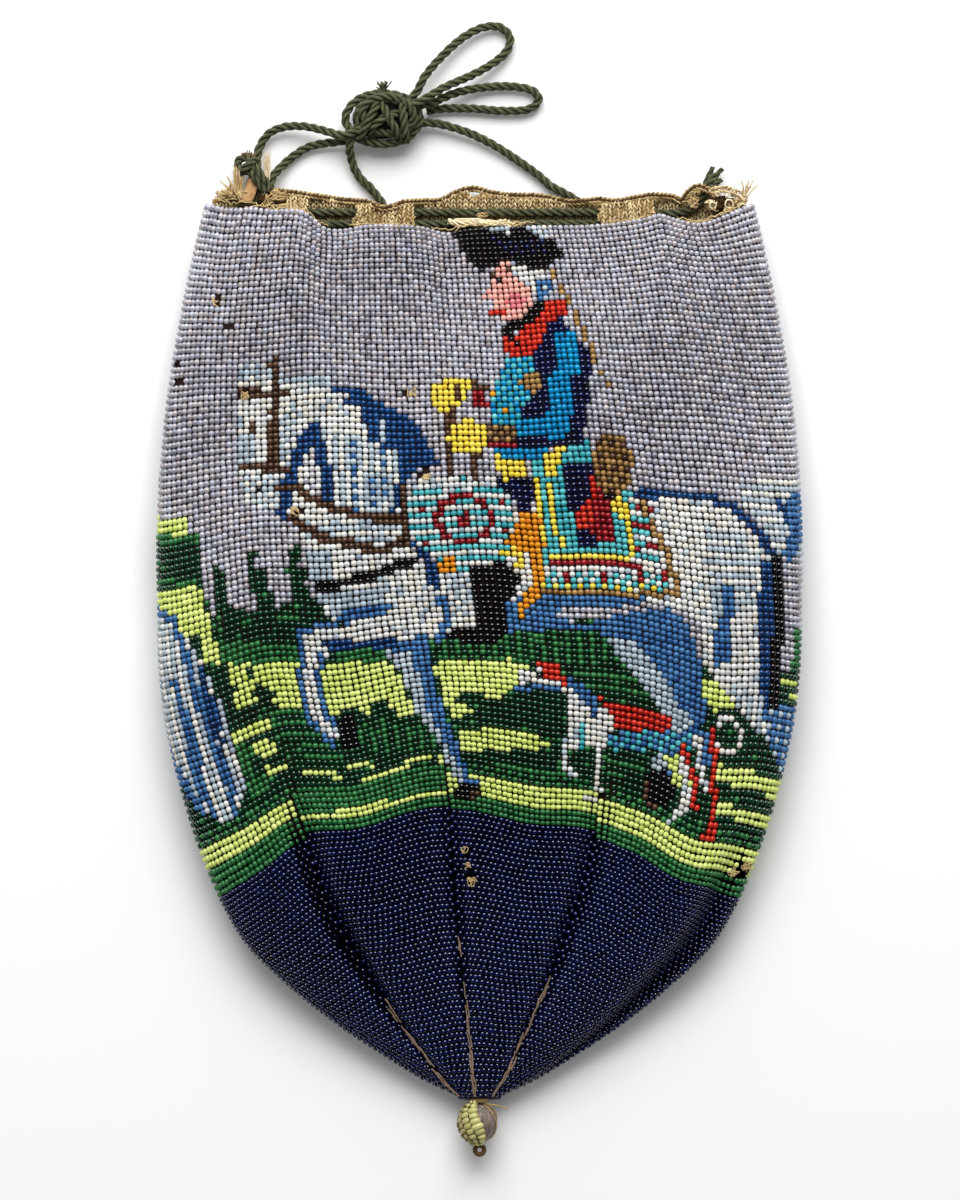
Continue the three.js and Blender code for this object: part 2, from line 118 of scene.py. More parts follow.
def spline(points, step, closed=False):
    """Evenly spaced points of a smooth curve through the given ones."""
    knots = np.array(points, float)
    if closed:
        knots = np.vstack([knots[-1:], knots, knots[:2]])
    else:
        knots = np.vstack([2 * knots[0] - knots[1], knots, 2 * knots[-1] - knots[-2]])
    u = np.linspace(0, 1, CURVE_PARTS + 1)[:-1, None]
    dense = []
    for a, b, c, d in zip(knots, knots[1:], knots[2:], knots[3:]):
        before = max(np.linalg.norm(b - a), 1e-7) ** 0.5
        here = max(np.linalg.norm(c - b), 1e-7) ** 0.5
        after = max(np.linalg.norm(d - c), 1e-7) ** 0.5
        out = ((b - a) / before - (c - a) / (before + here) + (c - b) / here) * here
        back = ((c - b) / here - (d - b) / (here + after) + (d - c) / after) * here
        cubic = 2 * b - 2 * c + out + back
        square = -3 * b + 3 * c - 2 * out - back
        dense.append(b + u * out + u**2 * square + u**3 * cubic)
    dense.append(knots[-2:-1])
    dense = np.vstack(dense)
    run = run_of(dense)
    places = np.linspace(0, run[-1], max(4, int(round(run[-1] / step)) + 1))
    line = np.column_stack([np.interp(places, run, dense[:, k]) for k in range(3)])
    return line[:-1] if closed else line


def sides_of(line, closed=False):
    """Two directions square to the line at each of its points, turning as little as they can."""
    if closed:
        ahead = unit(np.roll(line, -1, axis=0) - np.roll(line, 1, axis=0))
    else:
        ahead = unit(np.gradient(line, axis=0))
    side = np.cross(ahead[0], (0.13, 0.21, 1))
    first = []
    for way in ahead:
        side = side - way * side.dot(way)
        side = side / np.linalg.norm(side)
        first.append(side)
    first = np.array(first)
    return first, np.cross(ahead, first)


def plies(line, plied=3, reach=PLY_REACH, twist=TWIST, closed=False):
    """The middle lines of strands that are twisted about a line."""
    first, second = sides_of(line, closed)
    turns = run_of(line) / twist
    if closed:
        turns = np.linspace(0, round(turns[-1]), len(line), endpoint=False)
    strands = []
    for k in range(plied):
        angle = 2 * math.pi * (turns + k / plied)
        strands.append(line + reach * (np.cos(angle)[:, None] * first + np.sin(angle)[:, None] * second))
    return strands


def yarn(name, lines, thickness, sides=1, closed=False, middle=None):
    """Round strands along the given lines, as one mesh piece. Its tone is 1 on the outside of a cord and
    falls to 0 in the valleys near the cord's middle line, where a cord's material paints their shade."""
    bpy.ops.object.select_all(action="DESELECT")
    curve = bpy.data.curves.new(name, "CURVE")
    curve.dimensions = "3D"
    curve.bevel_depth = thickness / 2
    curve.bevel_resolution = sides
    curve.use_fill_caps = True
    for line in lines:
        strand = curve.splines.new("POLY")
        strand.points.add(len(line) - 1)
        strand.points.foreach_set("co", np.column_stack([line, np.ones(len(line))]).ravel())
        strand.use_cyclic_u = closed
    piece = bpy.data.objects.new(name, curve)
    scene.collection.objects.link(piece)
    piece.select_set(True)
    bpy.context.view_layer.objects.active = piece
    bpy.ops.object.convert(target="MESH")
    bpy.ops.object.shade_smooth()
    tones = np.ones(len(piece.data.vertices))
    if middle is not None:
        tree = kdtree.KDTree(len(middle))
        for number, point in enumerate(middle):
            tree.insert(point, number)
        tree.balance()
        away = np.array([tree.find(vertex.co)[2] for vertex in piece.data.vertices])
        tones = np.clip((away / thickness - 0.5) / 0.5, 0, 1)
    piece.data.attributes.new("tone", "FLOAT", "POINT").data.foreach_set("value", tones)
    return piece


class Shade:
    """A shader socket that joins in sums: each operator adds a Math node."""

    def __init__(self, tree, socket=None):
        self.tree = tree
        self.socket = socket

    def node(self, kind, settings, sockets, output=0):
        """Any node: its type, its settings, and the values or links of its sockets."""
        made = self.tree.nodes.new(kind)
        for name, value in settings.items():
            setattr(made, name, value)
        for name, value in sockets.items():
            if isinstance(value, Shade):
                self.tree.links.new(value.socket, made.inputs[name])
            else:
                made.inputs[name].default_value = value
        return Shade(self.tree, made.outputs[output])

    def maths(self, operation, first, second):
        return self.node("ShaderNodeMath", {"operation": operation}, {0: first, 1: second})

    def __add__(self, other):
        return self.maths("ADD", self, other)

    def __sub__(self, other):
        return self.maths("SUBTRACT", self, other)

    def __rsub__(self, other):
        return self.maths("SUBTRACT", other, self)

    def __mul__(self, other):
        return self.maths("MULTIPLY", self, other)

    __radd__ = __add__
    __rmul__ = __mul__


def colour(red, green, blue):
    """A colour as seen, 0 to 255, turned into the linear values that a shader takes."""
    linear = []
    for c in (red, green, blue):
        linear.append(c / 255 / 12.92 if c < 11 else ((c / 255 + 0.055) / 1.055) ** 2.4)
    return (*linear, 1)


def mixed(place, amount, dark, light):
    return place.node("ShaderNodeMix", {"data_type": "RGBA"}, {0: amount, 6: dark, 7: light}, 2)


def noise(place, scale, detail):
    return place.node("ShaderNodeTexNoise", {}, {"Vector": place, "Scale": scale, "Detail": detail})


def tone_of(place):
    """The tone that is stored on the points of a piece, from 0 to 1."""
    return place.node("ShaderNodeAttribute", {"attribute_name": "tone"}, {}, "Fac")


def new_material(name, roughness):
    material = bpy.data.materials.new(name)
    material.use_nodes = True
    tree = material.node_tree
    surface = tree.nodes["Principled BSDF"]
    surface.inputs["Roughness"].default_value = roughness
    place = Shade(tree).node("ShaderNodeTexCoord", {}, {}, "Object")
    return material, surface, place


def join(value, socket):
    value.tree.links.new(value.socket, socket)


def yarn_material(name, dark, light, grain, bump, plied=False):
    """Spun fibre: patches of a lighter and a darker shade, with a fine fuzzy relief. A plied one also
    paints the shade in the valleys between its strands.
    """
    material, surface, place = new_material(name, 0.8)
    patches = noise(place, grain / 6, 3.0)
    fibres = noise(place, grain, 2.0)
    amount = patches * 0.9 + fibres * 0.7 - 0.3
    # Painted shade: a plied cord darkens to near black in the valleys between its strands, where its tone
    # falls to 0
    if plied:
        amount = amount * (tone_of(place) * 0.95 + 0.05)
    join(mixed(place, amount, dark, light), surface.inputs["Base Color"])
    relief = place.node("ShaderNodeBump", {}, {"Height": fibres, "Strength": bump, "Distance": 0.0001})
    join(relief, surface.inputs["Normal"])
    surface.inputs["Specular IOR Level"].default_value = 0.15
    return material


cord_green = yarn_material("cord_green", colour(14, 16, 9), colour(116, 118, 86), 5200, 0.5, True)


def raised(points):
    """Points given from the mouth line, moved into the shared frame."""
    return [(x, y + MOUTH, z) for x, y, z in points]


lower_run = raised([
    (-0.0228, 0.0194, 0.0046), (-0.0262, 0.0178, 0.005), (-0.0296, 0.0168, 0.0052),
    (-0.0337, 0.0179, 0.004), (-0.0381, 0.0189, 0.003), (-0.0426, 0.0188, 0.0022),
    (-0.0459, 0.0173, 0.0018), (-0.0478, 0.0143, 0.0018), (-0.0483, 0.0117, 0.0022),
    (-0.048, 0.0089, 0.0034), (-0.0481, 0.006, 0.0036), (-0.0482, 0.0034, 0.0034),
    (-0.0474, 0.0004, 0.0031), (-0.0454, -0.0016, 0.0031), (-0.0424, -0.0023, 0.0031),
    (-0.036, -0.0023, 0.0031), (-0.02, -0.0023, 0.0031), (0.005, -0.0023, 0.0031), (0.03, -0.0023, 0.0031),
])
upper_run = raised([
    (-0.0232, 0.0182, 0.003), (-0.0268, 0.0166, 0.0024), (-0.0302, 0.0157, 0.002),
    (-0.0338, 0.0153, 0.0016), (-0.0373, 0.0145, 0.0013), (-0.0405, 0.0125, 0.0013),
    (-0.0433, 0.0099, 0.002), (-0.045, 0.0075, 0.0034), (-0.0455, 0.005, 0.0036), (-0.0454, 0.0029, 0.0034),
    (-0.0443, 0.001, 0.0031), (-0.042, 0.0002, 0.0031), (-0.036, 0.0002, 0.0031), (-0.02, 0.0002, 0.0031),
    (0.005, 0.0002, 0.0031), (0.028, 0.0002, 0.0031), (0.044, 0.0003, 0.0031), (0.0468, 0.0014, 0.0032),
    (0.0484, 0.0036, 0.0034), (0.0495, 0.0059, 0.0034), (0.0512, 0.0084, 0.0024),
])
drop_and_long_loop = raised([
    (-0.0197, -0.0008, 0.0011), (-0.0204, 0.001, 0.0011), (-0.0214, 0.0028, 0.0011),
    (-0.0227, 0.0045, 0.0012), (-0.0242, 0.0062, 0.0013), (-0.0254, 0.0072, 0.0013),
    (-0.027, 0.0095, 0.0016), (-0.0279, 0.0123, 0.0024), (-0.0282, 0.0144, 0.004),
    (-0.0262, 0.0188, 0.0044), (-0.0202, 0.0225, 0.0038), (-0.0142, 0.0256, 0.0032),
    (-0.0118, 0.0298, 0.0032), (-0.0077, 0.0346, 0.0026), (-0.0029, 0.0387, 0.002),
    (0.0012, 0.0406, 0.0017), (0.0046, 0.0405, 0.0013), (0.0066, 0.0384, 0.0013), (0.0061, 0.0357, 0.0016),
    (0.0038, 0.0333, 0.002), (-0.0012, 0.0302, 0.003), (-0.0077, 0.0271, 0.0052), (-0.0116, 0.0247, 0.006),
    (-0.0156, 0.0228, 0.0058),
])
right_and_short_loop = raised([
    (0.0242, 0.0, 0.0011), (0.0225, 0.0018, 0.0011), (0.0205, 0.0034, 0.0011), (0.0179, 0.0048, 0.0012),
    (0.0153, 0.0062, 0.0013), (0.0131, 0.0082, 0.0013), (0.0095, 0.0108, 0.0013), (0.003, 0.015, 0.0016),
    (-0.0041, 0.0182, 0.002), (-0.0114, 0.0197, 0.0026), (-0.0172, 0.0181, 0.004),
    (-0.0219, 0.0174, 0.0046), (-0.0253, 0.0186, 0.0046), (-0.0266, 0.0211, 0.0046),
    (-0.0251, 0.0235, 0.0046), (-0.0217, 0.0244, 0.0044), (-0.0166, 0.0236, 0.0042),
    (-0.0116, 0.0235, 0.0039), (-0.0054, 0.0261, 0.0026), (0.0012, 0.0275, 0.0016),
    (0.0083, 0.0276, 0.0013), (0.0118, 0.0266, 0.0013), (0.0129, 0.0248, 0.0013), (0.0109, 0.0229, 0.0013),
    (0.0054, 0.0224, 0.0013), (-0.0017, 0.0229, 0.0013), (-0.008, 0.0229, 0.0013),
    (-0.0114, 0.0224, 0.0013),
])


def finished(piece, material):
    """A piece with its material, which rides the pouch."""
    piece.data.materials.append(material)
    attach(piece, "root")
    return piece


def cord(name, points, nodes):
    """A plied cord through the points. Returns the piece and its middle line."""
    line = spline(points, CORD_STEP)
    piece = finished(yarn(name, plies(line), PLY, 1, middle=line), cord_green)
    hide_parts(*nodes)
    return piece, line


lower_cord, lower_line = cord("drawstring_lower_cord", lower_run, ["drawstring_lower_run"])
upper_cord, upper_line = cord("drawstring_upper_cord", upper_run, ["drawstring_upper_run"])
drop_cord, drop_line = cord("drawstring_drop_and_long_loop", drop_and_long_loop,
                            ["drawstring_drop_strand", "bow_loop_long"])
right_cord, right_line = cord("drawstring_right_and_short_loop", right_and_short_loop,
                              ["drawstring_right_strand", "bow_loop_short"])


# Bow knot and cut ends.
# The knot is the same cord, wound over itself and pulled tight, with one flat outer turn. Its cut end
# and the end at the right corner are frayed. A small overhand knot stops the end at the left corner.
KNOT = (-0.021, 0.0205 + MOUTH, 0.0001)
dice = random.Random(7)


def turn(length, width, height, tilt, lean, shift):
    """One closed oval turn of cord. lean stands it up out of the table's plane."""
    around = np.linspace(0, 2 * math.pi, 9)[:-1]
    flat = np.column_stack([length * np.cos(around), width * np.sin(around), 0 * around])
    stood = np.column_stack([flat[:, 0], flat[:, 1] * math.cos(lean), flat[:, 1] * math.sin(lean)])
    turned = np.column_stack([
        stood[:, 0] * math.cos(tilt) - stood[:, 1] * math.sin(tilt),
        stood[:, 0] * math.sin(tilt) + stood[:, 1] * math.cos(tilt),
        stood[:, 2],
    ])
    return spline(turned + np.array(KNOT) + np.array([*shift, height]), CORD_STEP, True)


knot_turns = [
    turn(0.0081, 0.0055, 0.0037, 0, 0, (0, 0)),
    turn(0.0056, 0.0040, 0.0062, math.radians(-8), 0.25, (0.0012, 0.0006)),
    turn(0.0051, 0.0031, 0.0043, math.radians(62), math.pi / 2, (-0.0026, 0)),
    turn(0.0051, 0.0031, 0.0043, math.radians(118), math.pi / 2, (0.0014, 0)),
    turn(0.0048, 0.0030, 0.0043, math.radians(96), math.pi / 2, (0.0046, 0)),
    turn(0.0040, 0.0028, 0.0046, math.radians(30), 1.1, (0.0008, -0.0014)),
]
knot_strands = []
for one_turn in knot_turns:
    knot_strands += plies(one_turn, closed=True)
bow_turns = yarn("bow_turns", knot_strands, PLY, 1, True, np.vstack(knot_turns))
finished(bow_turns, cord_green)
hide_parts("bow_knot")
# A core fills the knot under its turns. It carries no tone, so the cord's material gives it its darkest
# colour: painted shade inside the knot.
bpy.ops.mesh.primitive_uv_sphere_add(segments=24, ring_count=12, radius=1, location=(0, 0, 0))
bow_core = bpy.context.object
bow_core.name = "bow_core"
bow_core.scale = (0.0066, 0.0044, 0.0030)
bow_core.location = (KNOT[0], KNOT[1], 0.0034)
bpy.ops.object.transform_apply(location=True, rotation=True, scale=True)
bpy.ops.object.shade_smooth()
finished(bow_core, cord_green)

end_knot_line = spline(raised([
    (-0.0464, 0.0047, 0.0057), (-0.0484, 0.0072, 0.0058), (-0.0499, 0.0091, 0.0049),
    (-0.0514, 0.0092, 0.0036), (-0.0526, 0.0103, 0.0031), (-0.0517, 0.0119, 0.0033),
    (-0.0501, 0.0119, 0.0042), (-0.0491, 0.0105, 0.0053), (-0.0476, 0.0084, 0.006),
    (-0.0461, 0.0063, 0.0059), (-0.0454, 0.0048, 0.0056),
]), CORD_STEP)
end_strands = plies(end_knot_line)
around = np.linspace(0, 2 * math.pi, 11)[:-1]
hitch = np.column_stack([-0.0502 + 0.0013 * np.cos(around), MOUTH + 0.0101 + 0.0012 * np.cos(around),
                         0.0045 + 0.0017 * np.sin(around)])
hitch_line = spline(hitch, 0.0004, True)
end_strands += [np.vstack([strand, strand[:2]]) for strand in plies(hitch_line, closed=True)]
end_knot = yarn("drawstring_end_turns", end_strands, PLY, 1, middle=np.vstack([end_knot_line, hitch_line]))
finished(end_knot, cord_green)
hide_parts("drawstring_end_knot")


CUT_HALF = 0.0005  # half the thickness of a cut end
FIBRE_PARTS = 4  # a fibre changes its aim this many times
FIBRE_LOW = 0.0003  # no fibre lies lower than this above the table


def shaken(reach):
    """A random step of up to the reach along each axis."""
    return np.array([dice.uniform(-reach, reach) for _ in range(3)])


def frayed(foot, way, count, reach, spread):
    """Loose fibres that spread from a cut end, whose place is given from the mouth line."""
    root = np.array(raised([foot])[0])
    strands = []
    for _ in range(count):
        points = [root + shaken(1) * CUT_HALF]
        aim = np.array(way) + shaken(spread)
        whole = reach * dice.uniform(0.6, 1.1)
        for _ in range(FIBRE_PARTS):
            aim = aim / np.linalg.norm(aim) + shaken(spread) * 0.9
            points.append(points[-1] + aim / np.linalg.norm(aim) * whole / FIBRE_PARTS)
        line = spline(points, reach / 9)
        line[:, 2] = np.maximum(line[:, 2], FIBRE_LOW)
        strands.append(line)
    return strands


splayed = []
splayed_middle = []
splay_root = upper_line[-14]
for tip in np.array(raised([(0.0507, 0.0101, 0.0019), (0.0527, 0.0098, 0.0016), (0.0525, 0.0073, 0.0028)])):
    bend = splay_root * 0.45 + tip * 0.55 + (-0.0003, 0.0002, 0.0003)
    line = spline([splay_root, bend, tip], CORD_STEP)
    splayed += plies(line, 3, 0.0003, 0.005)
    splayed_middle.append(line)
right_fray = yarn("right_splayed_end", splayed, 0.00062, 1, middle=np.vstack(splayed_middle))
finished(right_fray, cord_green)
knot_fibres = frayed((-0.0209, 0.0262, 0.0042), (0.0, 1, 0.1), 40, 0.0024, 0.35)
knot_fray = finished(yarn("bow_frayed_end", knot_fibres, 0.00028, 0), cord_green)
end_fibres = frayed((-0.0505, 0.0119, 0.004), (0.4, 1, 0.1), 26, 0.0016, 0.5)
end_fibres += frayed((-0.0496, 0.0113, 0.0044), (0.6, 1, 0.1), 18, 0.0015, 0.5)
fray_brown = yarn_material("fray_brown", colour(66, 48, 32), colour(166, 136, 96), 5200, 0.4)
end_fray = finished(yarn("end_knot_fray", end_fibres, 0.00024, 0), fray_brown)


# Bag ground.
# The beads are strung on fine brown yarn and knitted into one tube, whose eight gores narrow to the
# tip. This is that knitting without its beads: a thin closed wall, flat where it lies on the table.
BAG_LENGTH = 0.1915
WIDEST = 0.077  # the widest row, from the mouth line
HALF_WIDE = 0.07  # half its width
MOUTH_IN = 0.0105  # how much narrower the mouth is, on each side
DEEP = 0.022  # the depth of the widest row, as the bag lies
MOUTH_DEEP = 0.015
TIP_DEEP = 0.007
EDGE_HIGH = 0.0084  # the side edge of the widest row lies this high
BASE = 0.1275  # the first row of the base, from the mouth line at the middle
BASE_EDGE = 0.146  # and at the sides
GORES = 8
FIRST_DART = 0.1  # as a share of the girth
# The side line from the widest row to the tip: the share of the way, and of the width
FLANK = [(0, 1), (0.25, 0.983), (0.47, 0.902), (0.63, 0.803), (0.71, 0.727), (0.78, 0.615), (0.86, 0.455),
         (0.93, 0.285), (0.97, 0.178), (1, 0.075)]
# The gathers of the mouth: where they lie across it from -1 to 1, their width and how deep they are
GATHERS = [(-0.53, 0.1, 0.002), (-0.09, 0.08, 0.001), (0.77, 0.08, 0.0022)]
# The wavy front edge: across the mouth from -1 to 1, and how far it stands above the mouth line
FRONT_EDGE = [(-1, 0.003), (-0.9, 0.002), (-0.84, 0.0028), (-0.77, 0.0012), (-0.63, 0), (-0.56, -0.0037),
              (-0.5, -0.0042), (-0.42, -0.0034), (-0.2, -0.0037), (-0.12, -0.0046), (-0.05, -0.0036),
              (0.25, -0.0031), (0.4, -0.003), (0.59, -0.0022), (0.655, -0.001), (0.72, -0.0024),
              (0.79, -0.0036), (0.88, -0.002), (1, 0.001)]
CORNER_RISE = 0.0024  # the two corners of the mouth stand this far above the mouth line
CORNER_FROM = 0.82  # across the mouth, where they begin to rise
BACK_DIP = 0.0052  # the back edge of the mouth lies this far below the mouth line
GATHER_REACH = 0.036  # how far down from the mouth the gathers, the edges and the corners are felt
EDGE_REACH = 0.016
CORNER_REACH = 0.03
FRONT_ROUND = 0.92  # how round the front and the back of a row are: 1 is an ellipse, and less is squarer
BACK_ROUND = 0.77
FLATTENED = 0.003  # the back would sink this far into the table, and lies flat there
# The darts, from the left over the front: depth, and width as a share of the girth
DARTS = np.array([(0.003, 0.0105), (0.0017, 0.0085), (0.0024, 0.0105)] + 5 * [(0.0026, 0.014)])
DART_START = 0.012  # they deepen over this length above the base
DART_END = 0.04  # and run out over this length at the tip
ROW_PARTS = 160  # the front or the back of a row is measured in this many parts
TURN_STEP = 0.02  # half the angle over which the direction of a row is taken
flank_line = spline([(x, y, 0) for x, y in FLANK], 0.01)
edge_line = spline([(x, y, 0) for x, y in FRONT_EDGE], 0.01)


def half_width(drop):
    if drop <= WIDEST:
        return HALF_WIDE - MOUTH_IN * ((WIDEST - drop) / WIDEST) ** 2.1
    way = (drop - WIDEST) / (BAG_LENGTH - WIDEST)
    return HALF_WIDE * float(np.interp(way, flank_line[:, 0], flank_line[:, 1]))


def edge_drop(drop):
    """How far from the mouth line a row lies at the sides, where it hangs lower than at the middle."""
    if drop <= BASE:
        return drop + (BASE_EDGE - BASE) * (drop / BASE) ** 2.2
    return BASE_EDGE + (BAG_LENGTH - BASE_EDGE) * ((drop - BASE) / (BAG_LENGTH - BASE)) ** 0.85


def depth(drop):
    if drop <= WIDEST:
        return MOUTH_DEEP + (DEEP - MOUTH_DEEP) * math.sin(math.pi / 2 * drop / WIDEST)
    way = (drop - WIDEST) / (BAG_LENGTH - WIDEST)
    return TIP_DEEP + (DEEP - TIP_DEEP) * math.cos(math.pi / 2 * way**1.3)


def front_edge(across):
    """How far the wavy front edge stands from the mouth line, across the mouth from -1 to 1."""
    return np.interp(across, edge_line[:, 0], edge_line[:, 1])


def faded(drop, reach):
    """1 at the mouth, falling smoothly to 0 at the reach."""
    return np.maximum(0, 1 - drop / reach) ** 2


def dart_place(share):
    """Where a share of the girth lies in its gore, 0 to 1 from dart to dart."""
    return ((share - FIRST_DART) * GORES) % 1


def bag_row(drop, shares, inset=0.0):
    """One knitted row: points at the shares of its girth, front first from the left, and the girth."""
    sag = edge_drop(drop) - drop
    half = half_width(edge_drop(drop)) - inset
    edge = EDGE_HIGH * depth(drop) / DEEP
    top = depth(drop) - inset

    def point(angle):
        front = angle <= math.pi
        power = np.where(front, FRONT_ROUND, BACK_ROUND)
        across = -np.sign(np.cos(angle)) * np.abs(np.cos(angle)) ** power
        lift = np.abs(np.sin(angle)) ** power
        over = edge + (top - edge) * lift
        for share, width, sink in GATHERS:
            dip = sink * faded(drop, GATHER_REACH) * lift
            over = over - dip * np.exp(-(((across - share) / width) ** 2))
        under = np.maximum(inset, edge - (edge - inset + FLATTENED) * lift)
        y = MOUTH - (drop + sag * np.abs(across) ** 2.2)
        y = y + np.where(front, front_edge(across) * lift, -BACK_DIP * lift**0.5) * faded(drop, EDGE_REACH)
        corner = np.clip((np.abs(across) - CORNER_FROM) / (1 - CORNER_FROM), 0, 1)
        y = y + CORNER_RISE * corner**1.5 * faded(drop, CORNER_REACH)
        return np.column_stack([across * half, y, np.where(front, over, under)])

    last_angle = 2 * math.pi - 1e-6
    angles = []
    girth = 0
    for side in (0, 1):
        turned = np.minimum(np.linspace(side, side + 1, ROW_PARTS + 1) * math.pi, last_angle)
        run = run_of(point(turned))
        girth += run[-1]
        angles.append(np.interp((shares % 0.5) * 2, run / run[-1], turned))
    angle = np.where(shares < 0.5, angles[0], angles[1])
    points = point(angle)
    ahead = point(np.minimum(angle + TURN_STEP, last_angle)) - point(np.maximum(angle - TURN_STEP, 0))
    inward = unit(np.column_stack([ahead[:, 2], 0 * angle, -ahead[:, 0]]))
    place = dart_place(shares)
    away = np.minimum(place, 1 - place) / GORES
    sink = min(1, max(0, (drop - BASE + DART_START) / DART_START)) * min(1, (BAG_LENGTH - drop) / DART_END)
    deep, wide = DARTS[np.round((shares - FIRST_DART) * GORES).astype(int) % GORES].T
    points = points + inward * (deep * sink * np.exp(-((away / wide) ** 2)))[:, None]
    points[:, 2] = np.maximum(points[:, 2], inset)
    return points, girth


def mesh_piece(name, points, faces):
    mesh = bpy.data.meshes.new(name)
    mesh.from_pydata([tuple(p) for p in points], [], faces)
    mesh.update()
    piece = bpy.data.objects.new(name, mesh)
    scene.collection.objects.link(piece)
    bpy.ops.object.select_all(action="DESELECT")
    piece.select_set(True)
    bpy.context.view_layer.objects.active = piece
    bpy.ops.object.shade_smooth()
    return piece


def lattice(rows, round_about):
    """The faces between rows of equally many points, joined round about or left open."""
    wide = len(rows[0])
    faces = []
    for i in range(len(rows) - 1):
        for j in range(wide if round_about else wide - 1):
            k = (j + 1) % wide
            faces.append((i * wide + j, i * wide + k, (i + 1) * wide + k, (i + 1) * wide + j))
    return faces


WALL_COLUMNS = 240
GROUND = 0.0011  # the knitting lies this far below the tops of the beads
INSIDE = 0.0022  # and its inner side this far
WALL_TOP = 0.0011  # its upper edge, below the mouth line
WALL_TIP = 0.0016  # its end, above the tip
INSIDE_TIP = 0.014
around = (np.arange(WALL_COLUMNS) / WALL_COLUMNS + FIRST_DART) % 1
outer_drops = np.linspace(BAG_LENGTH - WALL_TIP, WALL_TOP, 84)
inner_drops = np.linspace(WALL_TOP, BAG_LENGTH - INSIDE_TIP, 24)
wall_rows = [bag_row(drop, around, GROUND)[0] for drop in outer_drops]
wall_rows += [bag_row(drop, around, INSIDE)[0] for drop in inner_drops]
wall_faces = lattice(wall_rows, True)
wall_faces.append(tuple(range(WALL_COLUMNS - 1, -1, -1)))
last = (len(wall_rows) - 1) * WALL_COLUMNS
wall_faces.append(tuple(range(last, last + WALL_COLUMNS)))
bag_ground = mesh_piece("bag_ground", np.vstack(wall_rows), wall_faces)
ground_yarn_and_shade, ground_surface, ground_place = new_material("ground_yarn_and_shade", 0.8)
ground_surface.inputs["Specular IOR Level"].default_value = 0.0
# Painted shade: the yarn is a dark brown above the base, darker than the yarn itself so that the gaps
# between the beads read as shade, and nearly black in the base, where the gaps and the darts read as deep
# shade
above_base = ground_place.node("ShaderNodeSeparateXYZ", {}, {"Vector": ground_place}, "Y") * 60 + 2.4
above_base = above_base.node("ShaderNodeClamp", {}, {"Value": above_base})
fuzz = noise(ground_place, 2600.0, 3.0)
ground_shade = mixed(ground_place, above_base * fuzz, colour(4, 4, 6), colour(62, 46, 44))
join(ground_shade, ground_surface.inputs["Base Color"])
finished(bag_ground, ground_yarn_and_shade)
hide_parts("beaded_bag")


# Front beads.
# Glass seed beads of 1.2 mm, strung in the order of the picture and knitted one to a stitch, so every
# row is a line of beads on its yarn. A horseman, a hound and a green landscape, worn in a few places.
COLUMNS = 224  # beads in a whole row above the base
FIRST_ROW = 0.0007  # from the mouth line
LAST_ROW = 0.0002  # above the tip
MOUTH_ROW = 0.00124  # from row to row at the mouth
BORDER_ROW = 0.0011  # in the border
BASE_ROW = 0.00117  # and in the base
CLOSER_FROM = 0.05  # from the mouth line, where the rows begin to lie closer
BASE_SETTLES = 0.01  # below the border they reach the pitch of the base over this length
BEAD_DEEP = 0.00062  # half the thickness of a bead, square to the knitting
SQUARE = 0.00216  # the picture is drawn on squared paper, 96 squares across and 120 down
PAPER_X = 47.95  # where the middle of the frame lies on that paper
PAPER_Y = 65.53
seeded = np.random.default_rng(11)

# The surface is worked out once, on a grid, and taken from there
GRID_STEP = 0.0005
GRID_COLUMNS = 720
grid_drops = np.arange(0, BAG_LENGTH + 1e-9, GRID_STEP)
grid_shares = np.arange(GRID_COLUMNS) / GRID_COLUMNS
surface_rows = [bag_row(drop, grid_shares) for drop in grid_drops]
surface = np.array([np.vstack([points, points[:1]]) for points, girth in surface_rows])
girths = np.array([girth for points, girth in surface_rows])


def on_bag(drop, share):
    """The points of the bag's surface at drops from the mouth and shares of the girth."""
    i = np.clip(drop / GRID_STEP, 0, len(grid_drops) - 1.001)
    j = (share % 1) * GRID_COLUMNS
    i0 = i.astype(int)
    j0 = j.astype(int)
    u = (i - i0)[:, None]
    v = (j - j0)[:, None]
    near = surface[i0, j0] * (1 - v) + surface[i0, j0 + 1] * v
    far = surface[i0 + 1, j0] * (1 - v) + surface[i0 + 1, j0 + 1] * v
    return near * (1 - u) + far * u


def girth_at(drop):
    return np.interp(drop, grid_drops, girths)


def row_pitch(drop):
    """From row to row, at a drop from the mouth."""
    return np.interp(drop, (CLOSER_FROM, BASE, BASE + BASE_SETTLES), (MOUTH_ROW, BORDER_ROW, BASE_ROW))


row_drops = [FIRST_ROW]
while row_drops[-1] < BAG_LENGTH - LAST_ROW:
    row_drops.append(min(row_drops[-1] + row_pitch(row_drops[-1]), BAG_LENGTH - LAST_ROW))
bead_share = []
bead_drop = []
bead_half = []
bead_row = []
bead_column = []
for number, drop in enumerate(row_drops):
    # Each row starts a little further on than the one above it, and those of the base do so by turns
    girth = girth_at(drop)
    in_gore = COLUMNS // GORES
    lean = 0.09 * number % 1
    if drop > BASE:
        in_gore = max(2, round(in_gore * girth / girth_at(BASE)))
        lean = 0.3 + 0.4 * (number % 2)
    count = in_gore * GORES
    even = (np.arange(count) + lean) / count + FIRST_DART
    bead_share.append((even + seeded.normal(0, 0.05, count) / count) % 1)
    bead_drop.append(np.full(count, drop))
    bead_half.append(np.full(count, girth / count / 2))
    bead_row.append(np.full(count, number))
    bead_column.append(np.arange(count))
bead_share = np.concatenate(bead_share)
bead_drop = np.concatenate(bead_drop)
bead_half = np.concatenate(bead_half)
bead_row = np.concatenate(bead_row)
bead_column = np.concatenate(bead_column)

